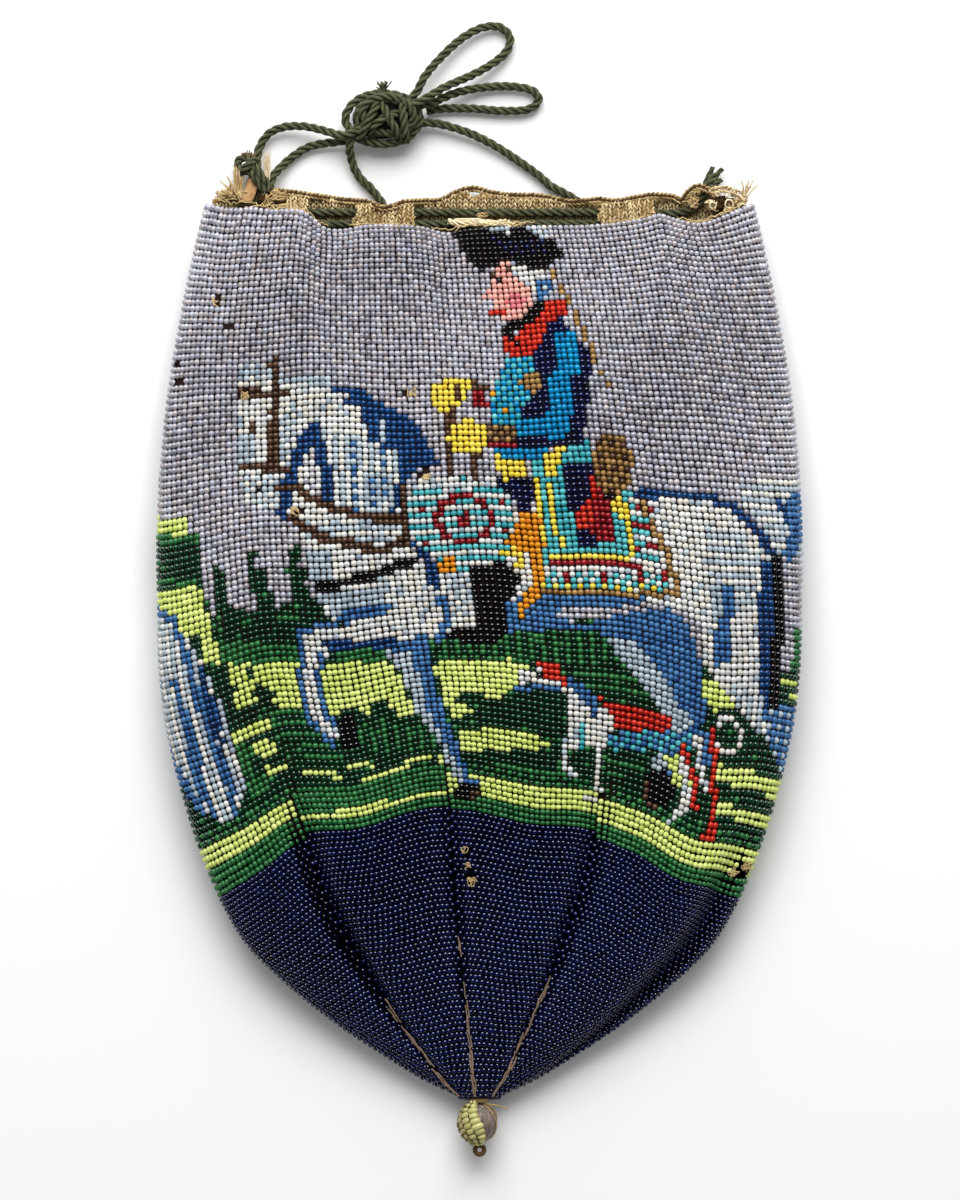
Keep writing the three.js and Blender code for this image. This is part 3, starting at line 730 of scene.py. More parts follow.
# The rows wander a little, and near the mouth they follow its wavy edge
where = on_bag(bead_drop, bead_share)
slack = np.clip((BASE - bead_drop) / 0.02, 0, 1)
wander = 0.00045 * np.sin(2 * math.pi * (where[:, 0] / 0.061 + bead_drop / 0.19) + 0.7)
wander += 0.00025 * np.sin(2 * math.pi * (where[:, 0] / 0.027 - bead_drop / 0.11) + 2.1)
MOUTH_HALF = 0.06
FOLLOW_REACH = 0.045
edge_above = np.where(bead_share < 0.5, front_edge(where[:, 0] / MOUTH_HALF), 0)
follow = edge_above * np.sin(2 * math.pi * np.minimum(bead_share, 0.5))
follow *= faded(bead_drop, FOLLOW_REACH) - faded(bead_drop, EDGE_REACH)
placed_drop = bead_drop + slack * wander - follow

# The darts take up some rows, so the rows of a gore start higher or lower at its left dart: the gore and
# the rise. Between the darts the rows sag: the share of the girth and the length
HITCHES = [(0, 0.0012), (1, -0.0006), (2, -0.0015)]
SAGS = [(0, 0.0014), (0.055, 0.0015), (0.1, 0), (0.15, 0.002), (0.21, -0.0001), (0.24, 0.0004),
        (0.295, 0.0032), (0.34, 0.0022), (0.385, 0.0031), (0.43, 0.0049), (0.47, 0.0025), (0.52, 0.001),
        (0.6, 0), (0.9, 0), (1, 0.0014)]
SAG_START = 0.085  # the sag begins this far above the base
SAG_END = 0.006  # and has gone this far above the tip
gore = np.floor((bead_share - FIRST_DART) * GORES).astype(int)
near_base = np.interp(bead_drop, (BASE - 0.024, BASE - 0.002, BASE + 0.015, BASE + 0.045), (0, 1, 1, 0))
for which, rise in HITCHES:
    placed_drop -= np.where(gore == which, rise * near_base * (1 - dart_place(bead_share)) ** 1.5, 0)
sag_line = spline([(share, length, 0) for share, length in SAGS], 0.005)
sag = np.interp(bead_share, sag_line[:, 0], sag_line[:, 1])


def sagging(drop):
    """0 to 1, how much of the sag the rows have taken up."""
    return np.interp(drop, (BASE - SAG_START, BASE, BAG_LENGTH - SAG_END), (0, 1, 0))


# A row that sags more than the one above it has taller beads
SAG_STEP = 0.001
END_GAP = 0.0003  # no bead lies nearer than this to the mouth line or the tip
placed_drop += sag * sagging(bead_drop)
steepness = (sagging(bead_drop + SAG_STEP) - sagging(bead_drop - SAG_STEP)) / (2 * SAG_STEP)
bead_tall = row_pitch(bead_drop) * (1 + sag * steepness)
placed_drop += seeded.normal(0, 0.00004, len(placed_drop))
placed_drop = np.clip(placed_drop, END_GAP, BAG_LENGTH - END_GAP)
sway = 0.0012 * np.sin(2 * math.pi * (bead_drop / 0.083 + where[:, 0] / 0.15)) * slack
placed_share = bead_share + sway

# Each bead lies along its row and square to the knitting, and is taller where the surface is drawn out
SHARE_STEP = 0.0012
DROP_STEP = 0.0006
DRAWN_LEAST = 0.9
DRAWN_MOST = 1.3


def squared(ways, along):
    """The directions, less the part of them that runs along others."""
    return ways - along * (ways * along).sum(axis=1)[:, None]


bead_along = on_bag(placed_drop, placed_share + SHARE_STEP) - on_bag(placed_drop, placed_share - SHARE_STEP)
bead_along = unit(bead_along)
bead_up = on_bag(placed_drop - DROP_STEP, placed_share) - on_bag(placed_drop + DROP_STEP, placed_share)
bead_up = squared(bead_up, bead_along)
drawn_out = np.linalg.norm(bead_up, axis=1)
bead_tall *= np.clip(drawn_out / (2 * DROP_STEP), DRAWN_LEAST, DRAWN_MOST)
bead_up /= drawn_out[:, None]
bead_out = np.cross(bead_along, bead_up)
bead_places = on_bag(placed_drop, placed_share) - bead_out * BEAD_DEEP
bead_places[:, 2] = np.maximum(bead_places[:, 2], BEAD_DEEP)

# Each bead glass: its darker and its lighter shade, how rough it is, how strong its gloss, and the
# refractive index of the gloss where it isn't the usual one
GLASS = {
    "lilac": (colour(125, 122, 131), colour(194, 191, 200), 0.2, 1.0, 2.2),
    "lilac_blue": (colour(122, 124, 138), colour(190, 192, 206), 0.2, 1.0, 2.2),
    "lilac_warm": (colour(130, 123, 126), colour(199, 190, 192), 0.2, 1.0, 2.2),
    "white": (colour(181, 183, 182), colour(230, 231, 229), 0.32, 0.2),
    "cream": (colour(190, 186, 176), colour(233, 228, 218), 0.32, 0.2),
    "pale": (colour(133, 147, 160), colour(188, 201, 209), 0.3, 0.3),
    "mid_blue": (colour(28, 70, 122), colour(72, 122, 172), 0.22, 0.5),
    "royal": (colour(8, 38, 84), colour(24, 72, 126), 0.2, 0.7),
    "navy": (colour(4, 8, 35), colour(14, 25, 76), 0.16, 1.0),
    "black": (colour(3, 3, 5), colour(12, 12, 16), 0.16, 1.0),
    "red": (colour(164, 24, 16), colour(210, 54, 36), 0.26, 0.5),
    "dark_red": (colour(108, 10, 18), colour(152, 28, 36), 0.22, 0.6),
    "skin": (colour(212, 142, 132), colour(238, 184, 170), 0.3, 0.4),
    "pink": (colour(190, 84, 96), colour(226, 140, 146), 0.3, 0.4),
    "cyan": (colour(0, 102, 156), colour(14, 148, 196), 0.26, 0.5),
    "teal": (colour(34, 138, 150), colour(96, 192, 196), 0.26, 0.5),
    "yellow": (colour(216, 184, 44), colour(244, 222, 92), 0.3, 0.4),
    "lime": (colour(182, 199, 93), colour(225, 237, 145), 0.3, 0.35),
    "ochre": (colour(196, 112, 10), colour(228, 154, 36), 0.28, 0.45),
    "bronze": (colour(104, 72, 34), colour(176, 138, 82), 0.2, 0.7),
    "brown": (colour(52, 33, 24), colour(94, 66, 48), 0.24, 0.6),
    "dark_green": (colour(3, 34, 18), colour(12, 62, 35), 0.18, 0.9),
    "mid_green": (colour(20, 80, 39), colour(54, 122, 67), 0.22, 0.6),
}
names = list(GLASS)
across = PAPER_X + bead_places[:, 0] / SQUARE
down = PAPER_Y - bead_places[:, 1] / SQUARE
rows_even = bead_row % 2 == 0
columns_even = bead_column % 2 == 0
checked = rows_even ^ columns_even
seen = (bead_share < 0.53) | (bead_share > 0.97)  # the front, and a little way round its edges
chosen = np.zeros(len(across), int)


def paint(where, first, second=None, every=None):
    """Beads of one glass, or of two in turn."""
    chosen[where & seen] = names.index(first)
    if second is not None:
        chosen[where & seen & every] = names.index(second)


def fill(first, corners, second=None, every=None):
    """A field with straight sides."""
    inside = np.zeros(len(across), bool)
    for (x0, y0), (x1, y1) in zip(corners, corners[1:] + corners[:1]):
        if y0 == y1:
            continue
        crosses = (y0 > down) != (y1 > down)
        inside ^= crosses & (across < (x1 - x0) * (down - y0) / (y1 - y0) + x0)
    paint(inside, first, second, every)


def stroke(first, width, points, second=None, every=None):
    """A line of even width."""
    near = np.zeros(len(across), bool)
    for (x0, y0), (x1, y1) in zip(points, points[1:]):
        long = max((x1 - x0) ** 2 + (y1 - y0) ** 2, 1e-9)
        part = np.clip(((across - x0) * (x1 - x0) + (down - y0) * (y1 - y0)) / long, 0, 1)
        near |= np.hypot(across - x0 - part * (x1 - x0), down - y0 - part * (y1 - y0)) < width / 2
    paint(near, first, second, every)


def oval(first, x, y, wide, high, second=None, every=None):
    paint(((across - x) / wide) ** 2 + ((down - y) / high) ** 2 < 1, first, second, every)


# Landscape
fill("dark_green", [(14, 53.6), (20, 53.6), (20.2, 58.9), (21.5, 61.5), (26, 60.9), (30.4, 60.3), (33, 60),
                    (45, 63), (60, 62), (75, 67.5), (77.5, 67.3), (82, 66.6), (82, 110), (14, 110)])
fill("mid_green", [(21.5, 61.5), (30, 60.6), (30, 62.4), (22, 63.2)], "dark_green", rows_even)
fill("mid_green", [(22.2, 64.2), (30, 64.2), (30, 66.3), (22.4, 66.3)])
fill("lime", [(22.6, 66.3), (30.2, 66.3), (30.2, 70.6), (27, 70.6), (26, 69), (24, 69.5), (23.2, 68)])
fill("dark_green", [(24.7, 66.3), (25.6, 66.9), (25.2, 67.8), (26.4, 68.4), (27.6, 69.4), (27.2, 70.8),
                    (25.6, 70), (25.6, 68.6)])
fill("lime", [(23.4, 69.4), (25.9, 69.4), (25.8, 70.4), (24, 71.2)])
stroke("lime", 1.0, [(23.3, 73.9), (26.8, 72.5)])
oval("lime", 26.8, 74.9, 1.25, 0.95)
stroke("lime", 0.55, [(27, 76.5), (27.3, 77.1), (28.5, 76.8)])
fill("mid_green", [(27, 70.6), (30.4, 70.6), (31, 74.2), (27.6, 74.2)], "dark_green", rows_even)
fill("mid_green", [(23.5, 74.2), (25.4, 74.2), (25.6, 77.6), (24.4, 77.8)])
fill("mid_green", [(24.7, 77.9), (27.4, 77.2), (27.4, 78.6), (25.2, 79.8)])
fill("lime", [(15, 51.8), (19.1, 51.8), (19.1, 53.6), (15, 53.6)])
fill("mid_green", [(15, 53.6), (19.9, 53.6), (20, 54.4), (15, 54.4)])
stroke("mid_green", 0.6, [(15.4, 58.4), (19.5, 58.2)])
fill("lime", [(15, 59.2), (20.3, 58.7), (21.6, 63.5), (18.7, 63.9), (17.2, 61.8), (15, 60.5)])
fill("lime", [(20.1, 64), (22, 64), (22.4, 66.3), (20.8, 66.3)])
fill("dark_green", [(21.2, 56.4), (22.4, 57.2), (23, 60), (24.3, 61.6), (24.2, 63), (21.8, 63), (21.7, 60)])
fill("dark_green", [(25.4, 54.6), (26, 55.2), (25.4, 56.8), (27.2, 57.2), (26.8, 58.4), (27.9, 60.4),
                    (27.2, 64), (25.2, 64), (25.8, 60), (24.8, 57.4)])
fill("dark_green", [(29.6, 54.3), (30.4, 55), (29.9, 57), (31.4, 57.4), (30.6, 58.6), (31.9, 60.4),
                    (29.8, 60.6), (29.3, 58.4), (28.7, 57)])
fill("white", [(13, 60.6), (17, 61.6), (18.7, 63.8), (20.3, 66.2), (21.7, 68.9), (23, 72.6), (24.9, 78.6),
               (23.5, 82.7), (20.2, 81.2), (17.5, 77.8), (13, 70)], "pale", columns_even)
stroke("mid_blue", 0.75, [(14.8, 60.4), (17.4, 62), (18.7, 65.5), (20, 70), (21.5, 74.5), (23, 78),
                          (23.7, 82)])
stroke("mid_blue", 0.65, [(17.5, 68.2), (18.8, 72), (20, 76.5), (21, 80)])
stroke("royal", 0.65, [(20.2, 66.6), (21.4, 71), (22.6, 75.6)])
stroke("mid_blue", 0.65, [(16, 71.6), (17.2, 75.8), (19.2, 79.6), (20.4, 81)])
stroke("mid_blue", 0.5, [(18.8, 75.4), (20.2, 79.2), (21.9, 81.9)])
stroke("pale", 0.5, [(23.6, 77), (24.8, 79)])
fill("mid_green", [(33.6, 64.8), (38.6, 64.8), (38.8, 66.3), (33.6, 66.3)])
fill("lime", [(32.8, 66.2), (39.2, 66.2), (40.4, 68), (41.5, 71.6), (40.2, 71.8), (39.2, 70.8),
              (38.2, 69.7), (37.3, 70.6), (37, 71.4), (35.9, 71.3), (35.5, 70.6), (34.5, 70.7),
              (34.1, 71.4), (32.9, 71.4), (31.8, 67.6)])
fill("mid_green", [(43, 63.6), (52, 62.8), (60, 62), (65, 66.4), (55, 66.2), (43.5, 66)], "dark_green",
     columns_even)
fill("lime", [(43.2, 66.3), (50.8, 65.8), (53, 66.4), (52.6, 67.6), (51.4, 69.2), (50.2, 69.2),
              (50.2, 70.2), (48.9, 70.1), (48, 69.2), (46, 69), (45.6, 69.8), (47.3, 71.2), (45.8, 71.7),
              (45, 71.5)])
fill("mid_green", [(35.5, 72.4), (43.5, 72.4), (44.1, 75), (36.5, 75)], "dark_green", columns_even)
fill("mid_green", [(30.5, 72), (34, 74.5), (35, 76), (30.5, 75.5)], "dark_green", rows_even)
fill("lime", [(30.4, 76.8), (33.3, 76.8), (34.6, 77.6), (34.7, 78.1), (33.6, 78.1), (33.2, 77.5),
              (30.4, 77.6)])
stroke("lime", 0.6, [(34.8, 76.4), (37.3, 76.4)])
stroke("lime", 0.65, [(36.6, 77.8), (39.6, 77.1), (41, 76), (43, 75.6)])
fill("lime", [(41.2, 76.4), (43.5, 76.4), (43.4, 77.3), (41.8, 77.5)])
fill("lime", [(44, 75.4), (45.2, 75.4), (45.2, 77.5), (44, 77.5)])
fill("lime", [(45.9, 72.8), (51.3, 72.8), (53.7, 73.6), (55.2, 74.2), (53.6, 74.8), (50.3, 75), (45.9, 75)])
fill("mid_green", [(46.2, 76.3), (53.1, 76.3), (60, 78.3), (46.6, 78.1)], "dark_green", rows_even)
fill("mid_green", [(57, 66.2), (66, 66.8), (67, 70), (58, 69.4)], "dark_green", rows_even)
fill("mid_green", [(60, 75.4), (64, 75.6), (64, 77.4), (60, 77.4)], "dark_green", rows_even)
fill("mid_green", [(79.4, 62.7), (81, 62.7), (81, 67), (79, 67)])
stroke("lime", 0.6, [(77.6, 68.4), (79.3, 68.4)])
stroke("lime", 0.6, [(77.5, 69.7), (79.8, 70)])
fill("lime", [(77.9, 71), (79.8, 71), (79.6, 72), (78.1, 72)])
stroke("lime", 1.8, [(71.8, 77.3), (75, 78), (78.8, 79.4)])
stroke("lime", 1.3, [(71.6, 80.6), (74, 81.4), (77, 82.4)])

# Border and base, which follow the rows: the gore, and its first and last lime row above the base
to_base = np.searchsorted(row_drops, BASE) - bead_row
for which, lime_first, lime_last in ((-1, 7, 5), (0, 3, 3), (1, 7, 4), (2, 7, 4), (3, 7, 4)):
    here = gore == which
    paint(here & (to_base <= lime_first + 2), "mid_green", "dark_green", checked)
    if which == 0:
        paint(here & (to_base <= lime_first + 5), "mid_green")
    paint(here & (to_base <= lime_first), "lime")
    paint(here & (to_base < lime_last), "mid_green")
paint((gore == 0) & (across > 33.6) & (across < 38.8) & (to_base == 4), "lime")
paint(bead_drop > BASE, "navy")

# Horse
fill("white", [(30.6, 55), (36, 55.2), (41, 55), (44.6, 58.5), (45.6, 63.4), (41, 64), (37.5, 62.5),
               (33, 62), (31.6, 59.2)])
fill("pale", [(30.6, 55), (33, 55.2), (34, 61), (31.8, 60)])
fill("white", [(44, 52), (64, 49.4), (70.4, 49.8), (73, 50.6), (75.2, 52.8), (77.2, 55.6), (77.4, 58),
               (76, 70.4), (73, 70), (70, 66.5), (69.8, 62), (66, 60.5), (63, 59.6), (55, 61), (51, 62.6),
               (44, 63)])
fill("mid_blue", [(50.6, 60.4), (53, 59.4), (64, 59.4), (64.5, 60.4), (56, 60.9), (55.4, 61.6), (58, 62.6),
                  (62, 61.4), (66.5, 60.8), (68.6, 62.5), (69.8, 66), (70.6, 72), (67.6, 72.3), (65, 68.4),
                  (62, 64.4), (59, 62.9), (50.4, 63.2)])
fill("pale", [(60.4, 63.9), (63.4, 64), (67, 69), (68.6, 72.2), (66.9, 72.4), (64.4, 69)])
stroke("pale", 1.3, [(68.4, 72), (66.4, 74.2), (65.4, 77.6)])
stroke("mid_blue", 0.8, [(69.6, 72), (67.6, 74.8), (66.7, 77)])
fill("black", [(64.4, 77.4), (66.4, 76.6), (67.4, 78.6), (66.7, 80.8), (64.8, 80.2)])
stroke("brown", 0.5, [(64.4, 77.8), (64.4, 79.6), (65.4, 80.7)])
stroke("royal", 0.85, [(63.7, 49.5), (70.4, 49.8), (72.8, 50.7), (75.2, 52.8), (76.8, 55), (77.4, 56.4)])
fill("pale", [(70, 53), (74.6, 53.6), (75.8, 60), (73.6, 61), (70.4, 57)], "white", rows_even)
fill("royal", [(75.7, 56), (77.2, 56), (77.2, 70.8), (76, 70.6)])
fill("mid_blue", [(70.9, 58.2), (73.5, 58.4), (73.2, 61), (72.6, 66.4), (70.9, 66.8), (71.5, 62)])
fill("pale", [(70.9, 58.2), (71.8, 58.2), (72.2, 62), (71.2, 62)])
fill("pale", [(72.2, 67.6), (76.2, 70), (77.8, 73.6), (75.8, 73.4), (73.4, 70.8)], "white", columns_even)
stroke("black", 1.05, [(77.4, 56.2), (77.9, 60), (77.5, 66), (77.4, 70.5)])
fill("pale", [(74, 48.2), (82, 48.2), (82, 55.8), (77.4, 55.6), (76.3, 53), (74.2, 50.6)], "white",
     rows_even)
stroke("mid_blue", 1.3, [(79.3, 50), (79.6, 53), (78.8, 55.4)])
stroke("royal", 0.6, [(77.8, 50), (78.6, 52.5)])
fill("mid_blue", [(76, 70.6), (80, 70.6), (80, 77), (78, 77.4), (76.6, 74)], "pale", checked & rows_even)
fill("lime", [(69.9, 67.3), (71.3, 68.2), (73.7, 71.1), (71, 71.1), (69.8, 69.5)])
fill("white", [(30.5, 63.4), (36, 62), (38.6, 61.6), (42.8, 62.4), (42.4, 64), (38, 64.2), (33.2, 64.8),
               (32.4, 66.6), (32.1, 70), (33.2, 72), (34.3, 73.2), (33.4, 74), (31.2, 71.8), (30.6, 67)])
stroke("mid_blue", 0.6, [(30.3, 63.3), (30.3, 67), (30.6, 70.8), (31.8, 72.8), (33.6, 74.4)])
stroke("mid_blue", 0.55, [(32.3, 65.6), (31.9, 68), (32.4, 71), (34, 72.7)])
stroke("mid_blue", 0.6, [(30.3, 63.1), (33, 62.6), (34.6, 61.8)])
stroke("royal", 0.9, [(33, 64.5), (38, 64.4), (42.6, 64.2)])
fill("black", [(34.1, 71.4), (35.4, 71.2), (35.9, 74.5), (34.4, 75), (34, 73.2)])
fill("mid_blue", [(38.4, 64.9), (42.6, 63.4), (43.3, 67.2), (44.5, 71.5), (45.9, 74.6), (46.9, 77.4),
                  (48.4, 78.5), (47, 79), (45.2, 77.3), (44.1, 74.2), (41.6, 71), (40.2, 67)])
fill("pale", [(38.4, 65), (41, 65), (42, 67.6), (42.8, 71), (44.4, 74), (46.2, 77.2), (46.4, 78.3),
              (45.2, 77.6), (44, 74.2), (41.6, 71), (40.2, 67)])
oval("black", 46.9, 79, 1.3, 0.95)
oval("brown", 47.3, 79.3, 0.6, 0.45)
fill("white", [(24, 38.3), (33, 38.4), (38, 42), (40.2, 46), (40.6, 52), (40.8, 55.6), (36, 55.8),
               (30.8, 55), (29.5, 51.5), (28, 51), (24.6, 50.5), (24.2, 47), (24, 42)])
fill("pale", [(24, 36.4), (27.3, 36.4), (27.3, 38.4), (24, 38.4)], "white", rows_even & columns_even)
fill("pale", [(28, 37.8), (33, 38), (33, 38.7), (28, 38.6)])
fill("pale", [(24, 43.4), (25.8, 43.8), (25.4, 46), (24, 46.6)])
fill("pale", [(24.3, 47.4), (28.1, 47.4), (28.1, 51), (25.5, 50.8), (24.3, 49)], "white", checked)
fill("pale", [(32.5, 43), (40.1, 45.5), (40.1, 52.1), (33.3, 50.7), (32, 46)], "white", columns_even)
for x in (35.6, 37.2, 38.8):
    stroke("mid_blue", 0.5, [(x - 0.3, 44.6), (x + 0.2, 51.4)], "pale", checked)
fill("pale", [(28.4, 40), (30.6, 40.4), (29.6, 44.6), (28.2, 46.4)], "white", checked)
fill("white", [(30, 45.1), (32.5, 45.1), (32.7, 50), (31, 50)], "lilac", checked)
stroke("royal", 1.25, [(31.2, 43.2), (29.9, 46), (28.9, 48.5), (28.4, 51.4)])
stroke("royal", 1.25, [(31.4, 43.2), (32.5, 46.5), (33, 50.4)])
fill("royal", [(32.8, 38.6), (36.4, 39.2), (38.6, 40.7), (41.7, 42.2), (43.6, 46), (44.6, 46.9),
               (42.3, 46.8), (41.1, 48), (39.8, 49.4), (40.1, 45.6), (37.2, 44.4), (36.6, 42.6),
               (36.4, 40.8), (34.1, 40.8), (35.3, 39.6), (33.1, 39.2)])
stroke("white", 0.55, [(36.2, 40.9), (36.3, 42.8)])
stroke("pale", 0.5, [(38.2, 42.2), (38.4, 44.4)])
stroke("royal", 0.6, [(39.7, 49), (39.5, 51.8)])
stroke("brown", 0.95, [(27.6, 36.3), (27.6, 47.2)])
stroke("brown", 0.7, [(24.4, 39.4), (28.6, 39.5)])
stroke("brown", 0.65, [(24.2, 47), (29, 46.9)])
stroke("brown", 0.6, [(27.4, 48.7), (30, 48.7)])
oval("brown", 25.3, 42.9, 0.42, 0.42)
oval("black", 26.1, 49.1, 0.36, 0.36)
fill("white", [(30.2, 52.4), (34, 52), (40.3, 52.6), (40.3, 53.6), (38, 54.6), (33, 53.6)], "pale",
     rows_even)
stroke("brown", 0.8, [(30, 49.2), (31.6, 50.1), (33.9, 51.1), (36.6, 51.8), (39.4, 52.1), (40.6, 51.6)])
stroke("brown", 0.8, [(29.3, 52), (30.7, 52.9), (32.5, 53.9), (34.2, 54.2), (36.4, 54.8), (38.6, 55.1),
                      (40.6, 53.8)])
stroke("brown", 0.75, [(40.3, 48.9), (40.6, 51.6), (40.5, 54.5)])
stroke("royal", 1, [(41.8, 54.3), (42.9, 56.2), (43.6, 58.4)])
stroke("mid_blue", 0.8, [(44.2, 59.8), (44.7, 62.5), (43.8, 63.9)])
stroke("black", 1, [(31.9, 58.9), (35, 58.2), (38, 57.4), (41.3, 56.1)])
fill("pale", [(32.2, 59.5), (36, 58.9), (39.4, 58.3), (38, 60.6), (33.5, 61.6)])
fill("mid_blue", [(34.4, 61), (39.6, 60.1), (39, 61.3), (36, 61.8), (34.6, 62.6)])

# Saddle cloth and holster
fill("teal", [(53, 45.8), (60, 45.5), (63.5, 50), (65.5, 57.2), (54.4, 57.2)])
fill("white", [(62.4, 50), (64, 50), (66.2, 57.2), (63.2, 57.2)], "teal", rows_even)
for height in (51.1, 52.7, 54.8):
    stroke("dark_red", 0.5, [(63, height), (64.8 + (height - 51) * 0.2, height)])
stroke("yellow", 0.65, [(53.7, 48.4), (53.9, 52), (54.5, 54.6)])
stroke("yellow", 0.65, [(55, 48.4), (55.4, 52), (56, 54.4)])
stroke("yellow", 0.7, [(61, 51), (62, 50.2), (62.5, 52.8), (63.1, 55.6)])
stroke("yellow", 0.6, [(54.8, 55.9), (62.8, 55.9)])
stroke("dark_red", 0.6, [(54.8, 56.5), (64, 56.5)])
stroke("white", 0.6, [(54.6, 57.1), (64.8, 57.1)])
fill("white", [(54.3, 57.4), (65.7, 57.4), (66.9, 59), (54.3, 59)], "teal", checked)
for place in (56.7, 60.3, 64, 66.2):
    oval("dark_red", place, 57.9, 0.34, 0.6)
stroke("yellow", 0.5, [(54.3, 58.8), (66.4, 58.8)], "teal", columns_even)
stroke("bronze", 0.6, [(54.2, 59.4), (67.6, 59.4)])
stroke("bronze", 0.6, [(63.8, 50), (66.3, 55), (67.7, 59.3)])
fill("white", [(41, 49), (44, 47.6), (50.4, 48.4), (51.9, 53), (50.2, 56.4), (46.5, 57.4), (43.6, 56.2),
               (40.8, 53.4)], "teal", rows_even)
fill("white", [(42, 48), (49.5, 48), (49.5, 49), (41.4, 49.4)])
stroke("dark_red", 0.62, [(43.6, 52), (44.4, 50.4), (46.4, 49.6), (48.4, 50.4), (49.2, 52), (48.4, 53.6),
                          (46.4, 54.4), (44.4, 53.6), (43.6, 52)])
oval("dark_red", 46.4, 52, 0.8, 0.65)
for x, y in ((42.2, 51), (50.4, 53), (42.6, 54.4), (50, 50.2)):
    oval("dark_red", x, y, 0.34, 0.34)
fill("white", [(44.5, 57.4), (47.2, 57.6), (47, 60.5), (45.6, 62.4), (44.8, 60)], "pale", checked)
oval("ochre", 44.8, 56.6, 0.95, 0.95)
fill("black", [(47.1, 56.9), (50.1, 56.2), (52, 57.9), (51.6, 59.3), (50.5, 60.7), (50.6, 64), (47.7, 64.4),
               (44.8, 64), (45.2, 62.8), (47.4, 62.5), (47.1, 59.6)])
fill("ochre", [(51.7, 51.6), (53.8, 51.2), (54.4, 54.7), (53, 55.4), (50.4, 54.4), (51.4, 53.2)])
stroke("ochre", 1, [(53.4, 54.6), (53.9, 57), (53.4, 59.8)])
stroke("yellow", 0.8, [(50, 55.4), (51.6, 55.2), (52, 56.8)])
stroke("ochre", 0.8, [(52.8, 59.6), (52, 61.3)])

# Rider, with a plain face
fill("navy", [(49.5, 48), (53.2, 48), (53.2, 50), (52.4, 51.7), (51.4, 50.4)])
fill("yellow", [(49.3, 45.7), (52.4, 46.2), (52.4, 47.8), (50.6, 48.3), (49.6, 47)])
fill("yellow", [(54, 45.7), (55.8, 45.6), (55.8, 48), (54.2, 48)])
stroke("yellow", 0.65, [(54.8, 45.6), (57, 44.9), (58.6, 44.6)])
fill("teal", [(56.4, 45), (58.8, 43.7), (59.4, 46.4), (56, 46.4)])
fill("cyan", [(49.1, 44.7), (55, 44.7), (54.2, 45.8), (50.6, 46.2)])
fill("navy", [(56, 46.4), (59, 46.4), (59.2, 48.6), (58.6, 51.2), (57, 51.2), (56.4, 49)])
fill("red", [(59, 47.2), (60.2, 47.2), (60.8, 49.8), (60.4, 51.2), (60.6, 53.6), (57.4, 53.2), (57, 51.6),
             (58.6, 50.6)])
fill("dark_red", [(59.6, 48.4), (60.7, 48.4), (61.4, 52.6), (61.5, 54.4), (60, 54.6), (58.9, 53)])
fill("navy", [(57.4, 53), (59, 53.2), (59.8, 54.6), (57.6, 54.7)])
oval("bronze", 61.1, 46.6, 2.05, 3.05, "brown", checked & rows_even)
oval("black", 60.9, 49.9, 0.7, 0.5)
fill("navy", [(53.2, 31.6), (56, 32), (58.4, 35), (58.9, 38), (58.6, 42.6), (57.8, 45), (51.7, 45),
              (51.8, 42), (54, 40), (54.8, 37.8), (53.4, 34.5)])
fill("cyan", [(50.6, 36.2), (53.4, 35.2), (53.8, 38.6), (53.2, 41), (51.9, 42.6), (49.4, 42.4),
              (48.8, 40.8), (49.7, 38.2)], "teal", checked)
oval("ochre", 49.4, 39.8, 0.3, 0.3)
oval("ochre", 50.3, 41.4, 0.3, 0.3)
fill("cyan", [(55.5, 33.2), (57.6, 33.4), (58.4, 37.2), (57.2, 38), (57.4, 40.8), (56.6, 44), (51.8, 44),
              (51.8, 42.4), (54.2, 42), (54.9, 40.6), (54.9, 38), (55.6, 37)])
stroke("navy", 1.4, [(53.9, 33.4), (54.3, 37.4), (53.6, 40), (52.6, 41.6)])
stroke("navy", 0.8, [(58.3, 35.4), (58.6, 38), (58.2, 42), (57.4, 44.6)])
fill("red", [(50.1, 33.6), (51.8, 33.6), (53, 31.6), (54.2, 30.4), (56.4, 30.2), (56.6, 31.6), (54.8, 32.4),
             (54.2, 34.2), (53.6, 35.4), (52.2, 36), (50.3, 35.6)])
stroke("black", 0.55, [(51.1, 33), (51.5, 35)])
oval("bronze", 53.1, 38.4, 1.15, 1.15)
fill("yellow", [(43.1, 38.9), (44.6, 38), (46.9, 38.2), (46.9, 40), (45.6, 41.3), (44.2, 41.6),
                (43.3, 40.4)])
stroke("brown", 0.5, [(45.8, 38.6), (45.6, 40)])
fill("dark_red", [(46.9, 38.8), (48.6, 39.2), (48.9, 41.2), (47.2, 40.8)])
fill("brown", [(46.9, 38.2), (49, 38.8), (48.9, 39.4), (46.9, 38.9)])
fill("brown", [(48.8, 42.5), (51.7, 42.6), (51.7, 45), (48.8, 44.6)], "bronze", checked)
stroke("dark_red", 0.5, [(49.2, 44.6), (51.6, 44.9)])
stroke("brown", 0.85, [(45.1, 41.5), (45, 47.4)])
stroke("brown", 0.85, [(47.5, 45.7), (47.4, 47.7)])
oval("yellow", 46.9, 44, 2.05, 1.75)
oval("skin", 51.1, 29.3, 2.25, 3.1)
fill("skin", [(49.2, 28.4), (48, 30.2), (49.4, 30.4)])
oval("pink", 51.5, 30.3, 0.95, 0.75)
stroke("brown", 0.5, [(49.2, 27.5), (50.8, 27.4)])
oval("black", 50, 28.5, 0.32, 0.32)
stroke("red", 0.5, [(49, 31.4), (50.3, 31.4)])
fill("white", [(51, 26.2), (53.4, 26.2), (54.4, 27.8), (53.6, 29.6), (52.4, 28.8), (51.4, 27.6)])
fill("mid_blue", [(53.4, 28.2), (55, 28.2), (55, 30.1), (54.2, 30.7), (53.4, 29.6)], "pale",
     checked & rows_even)
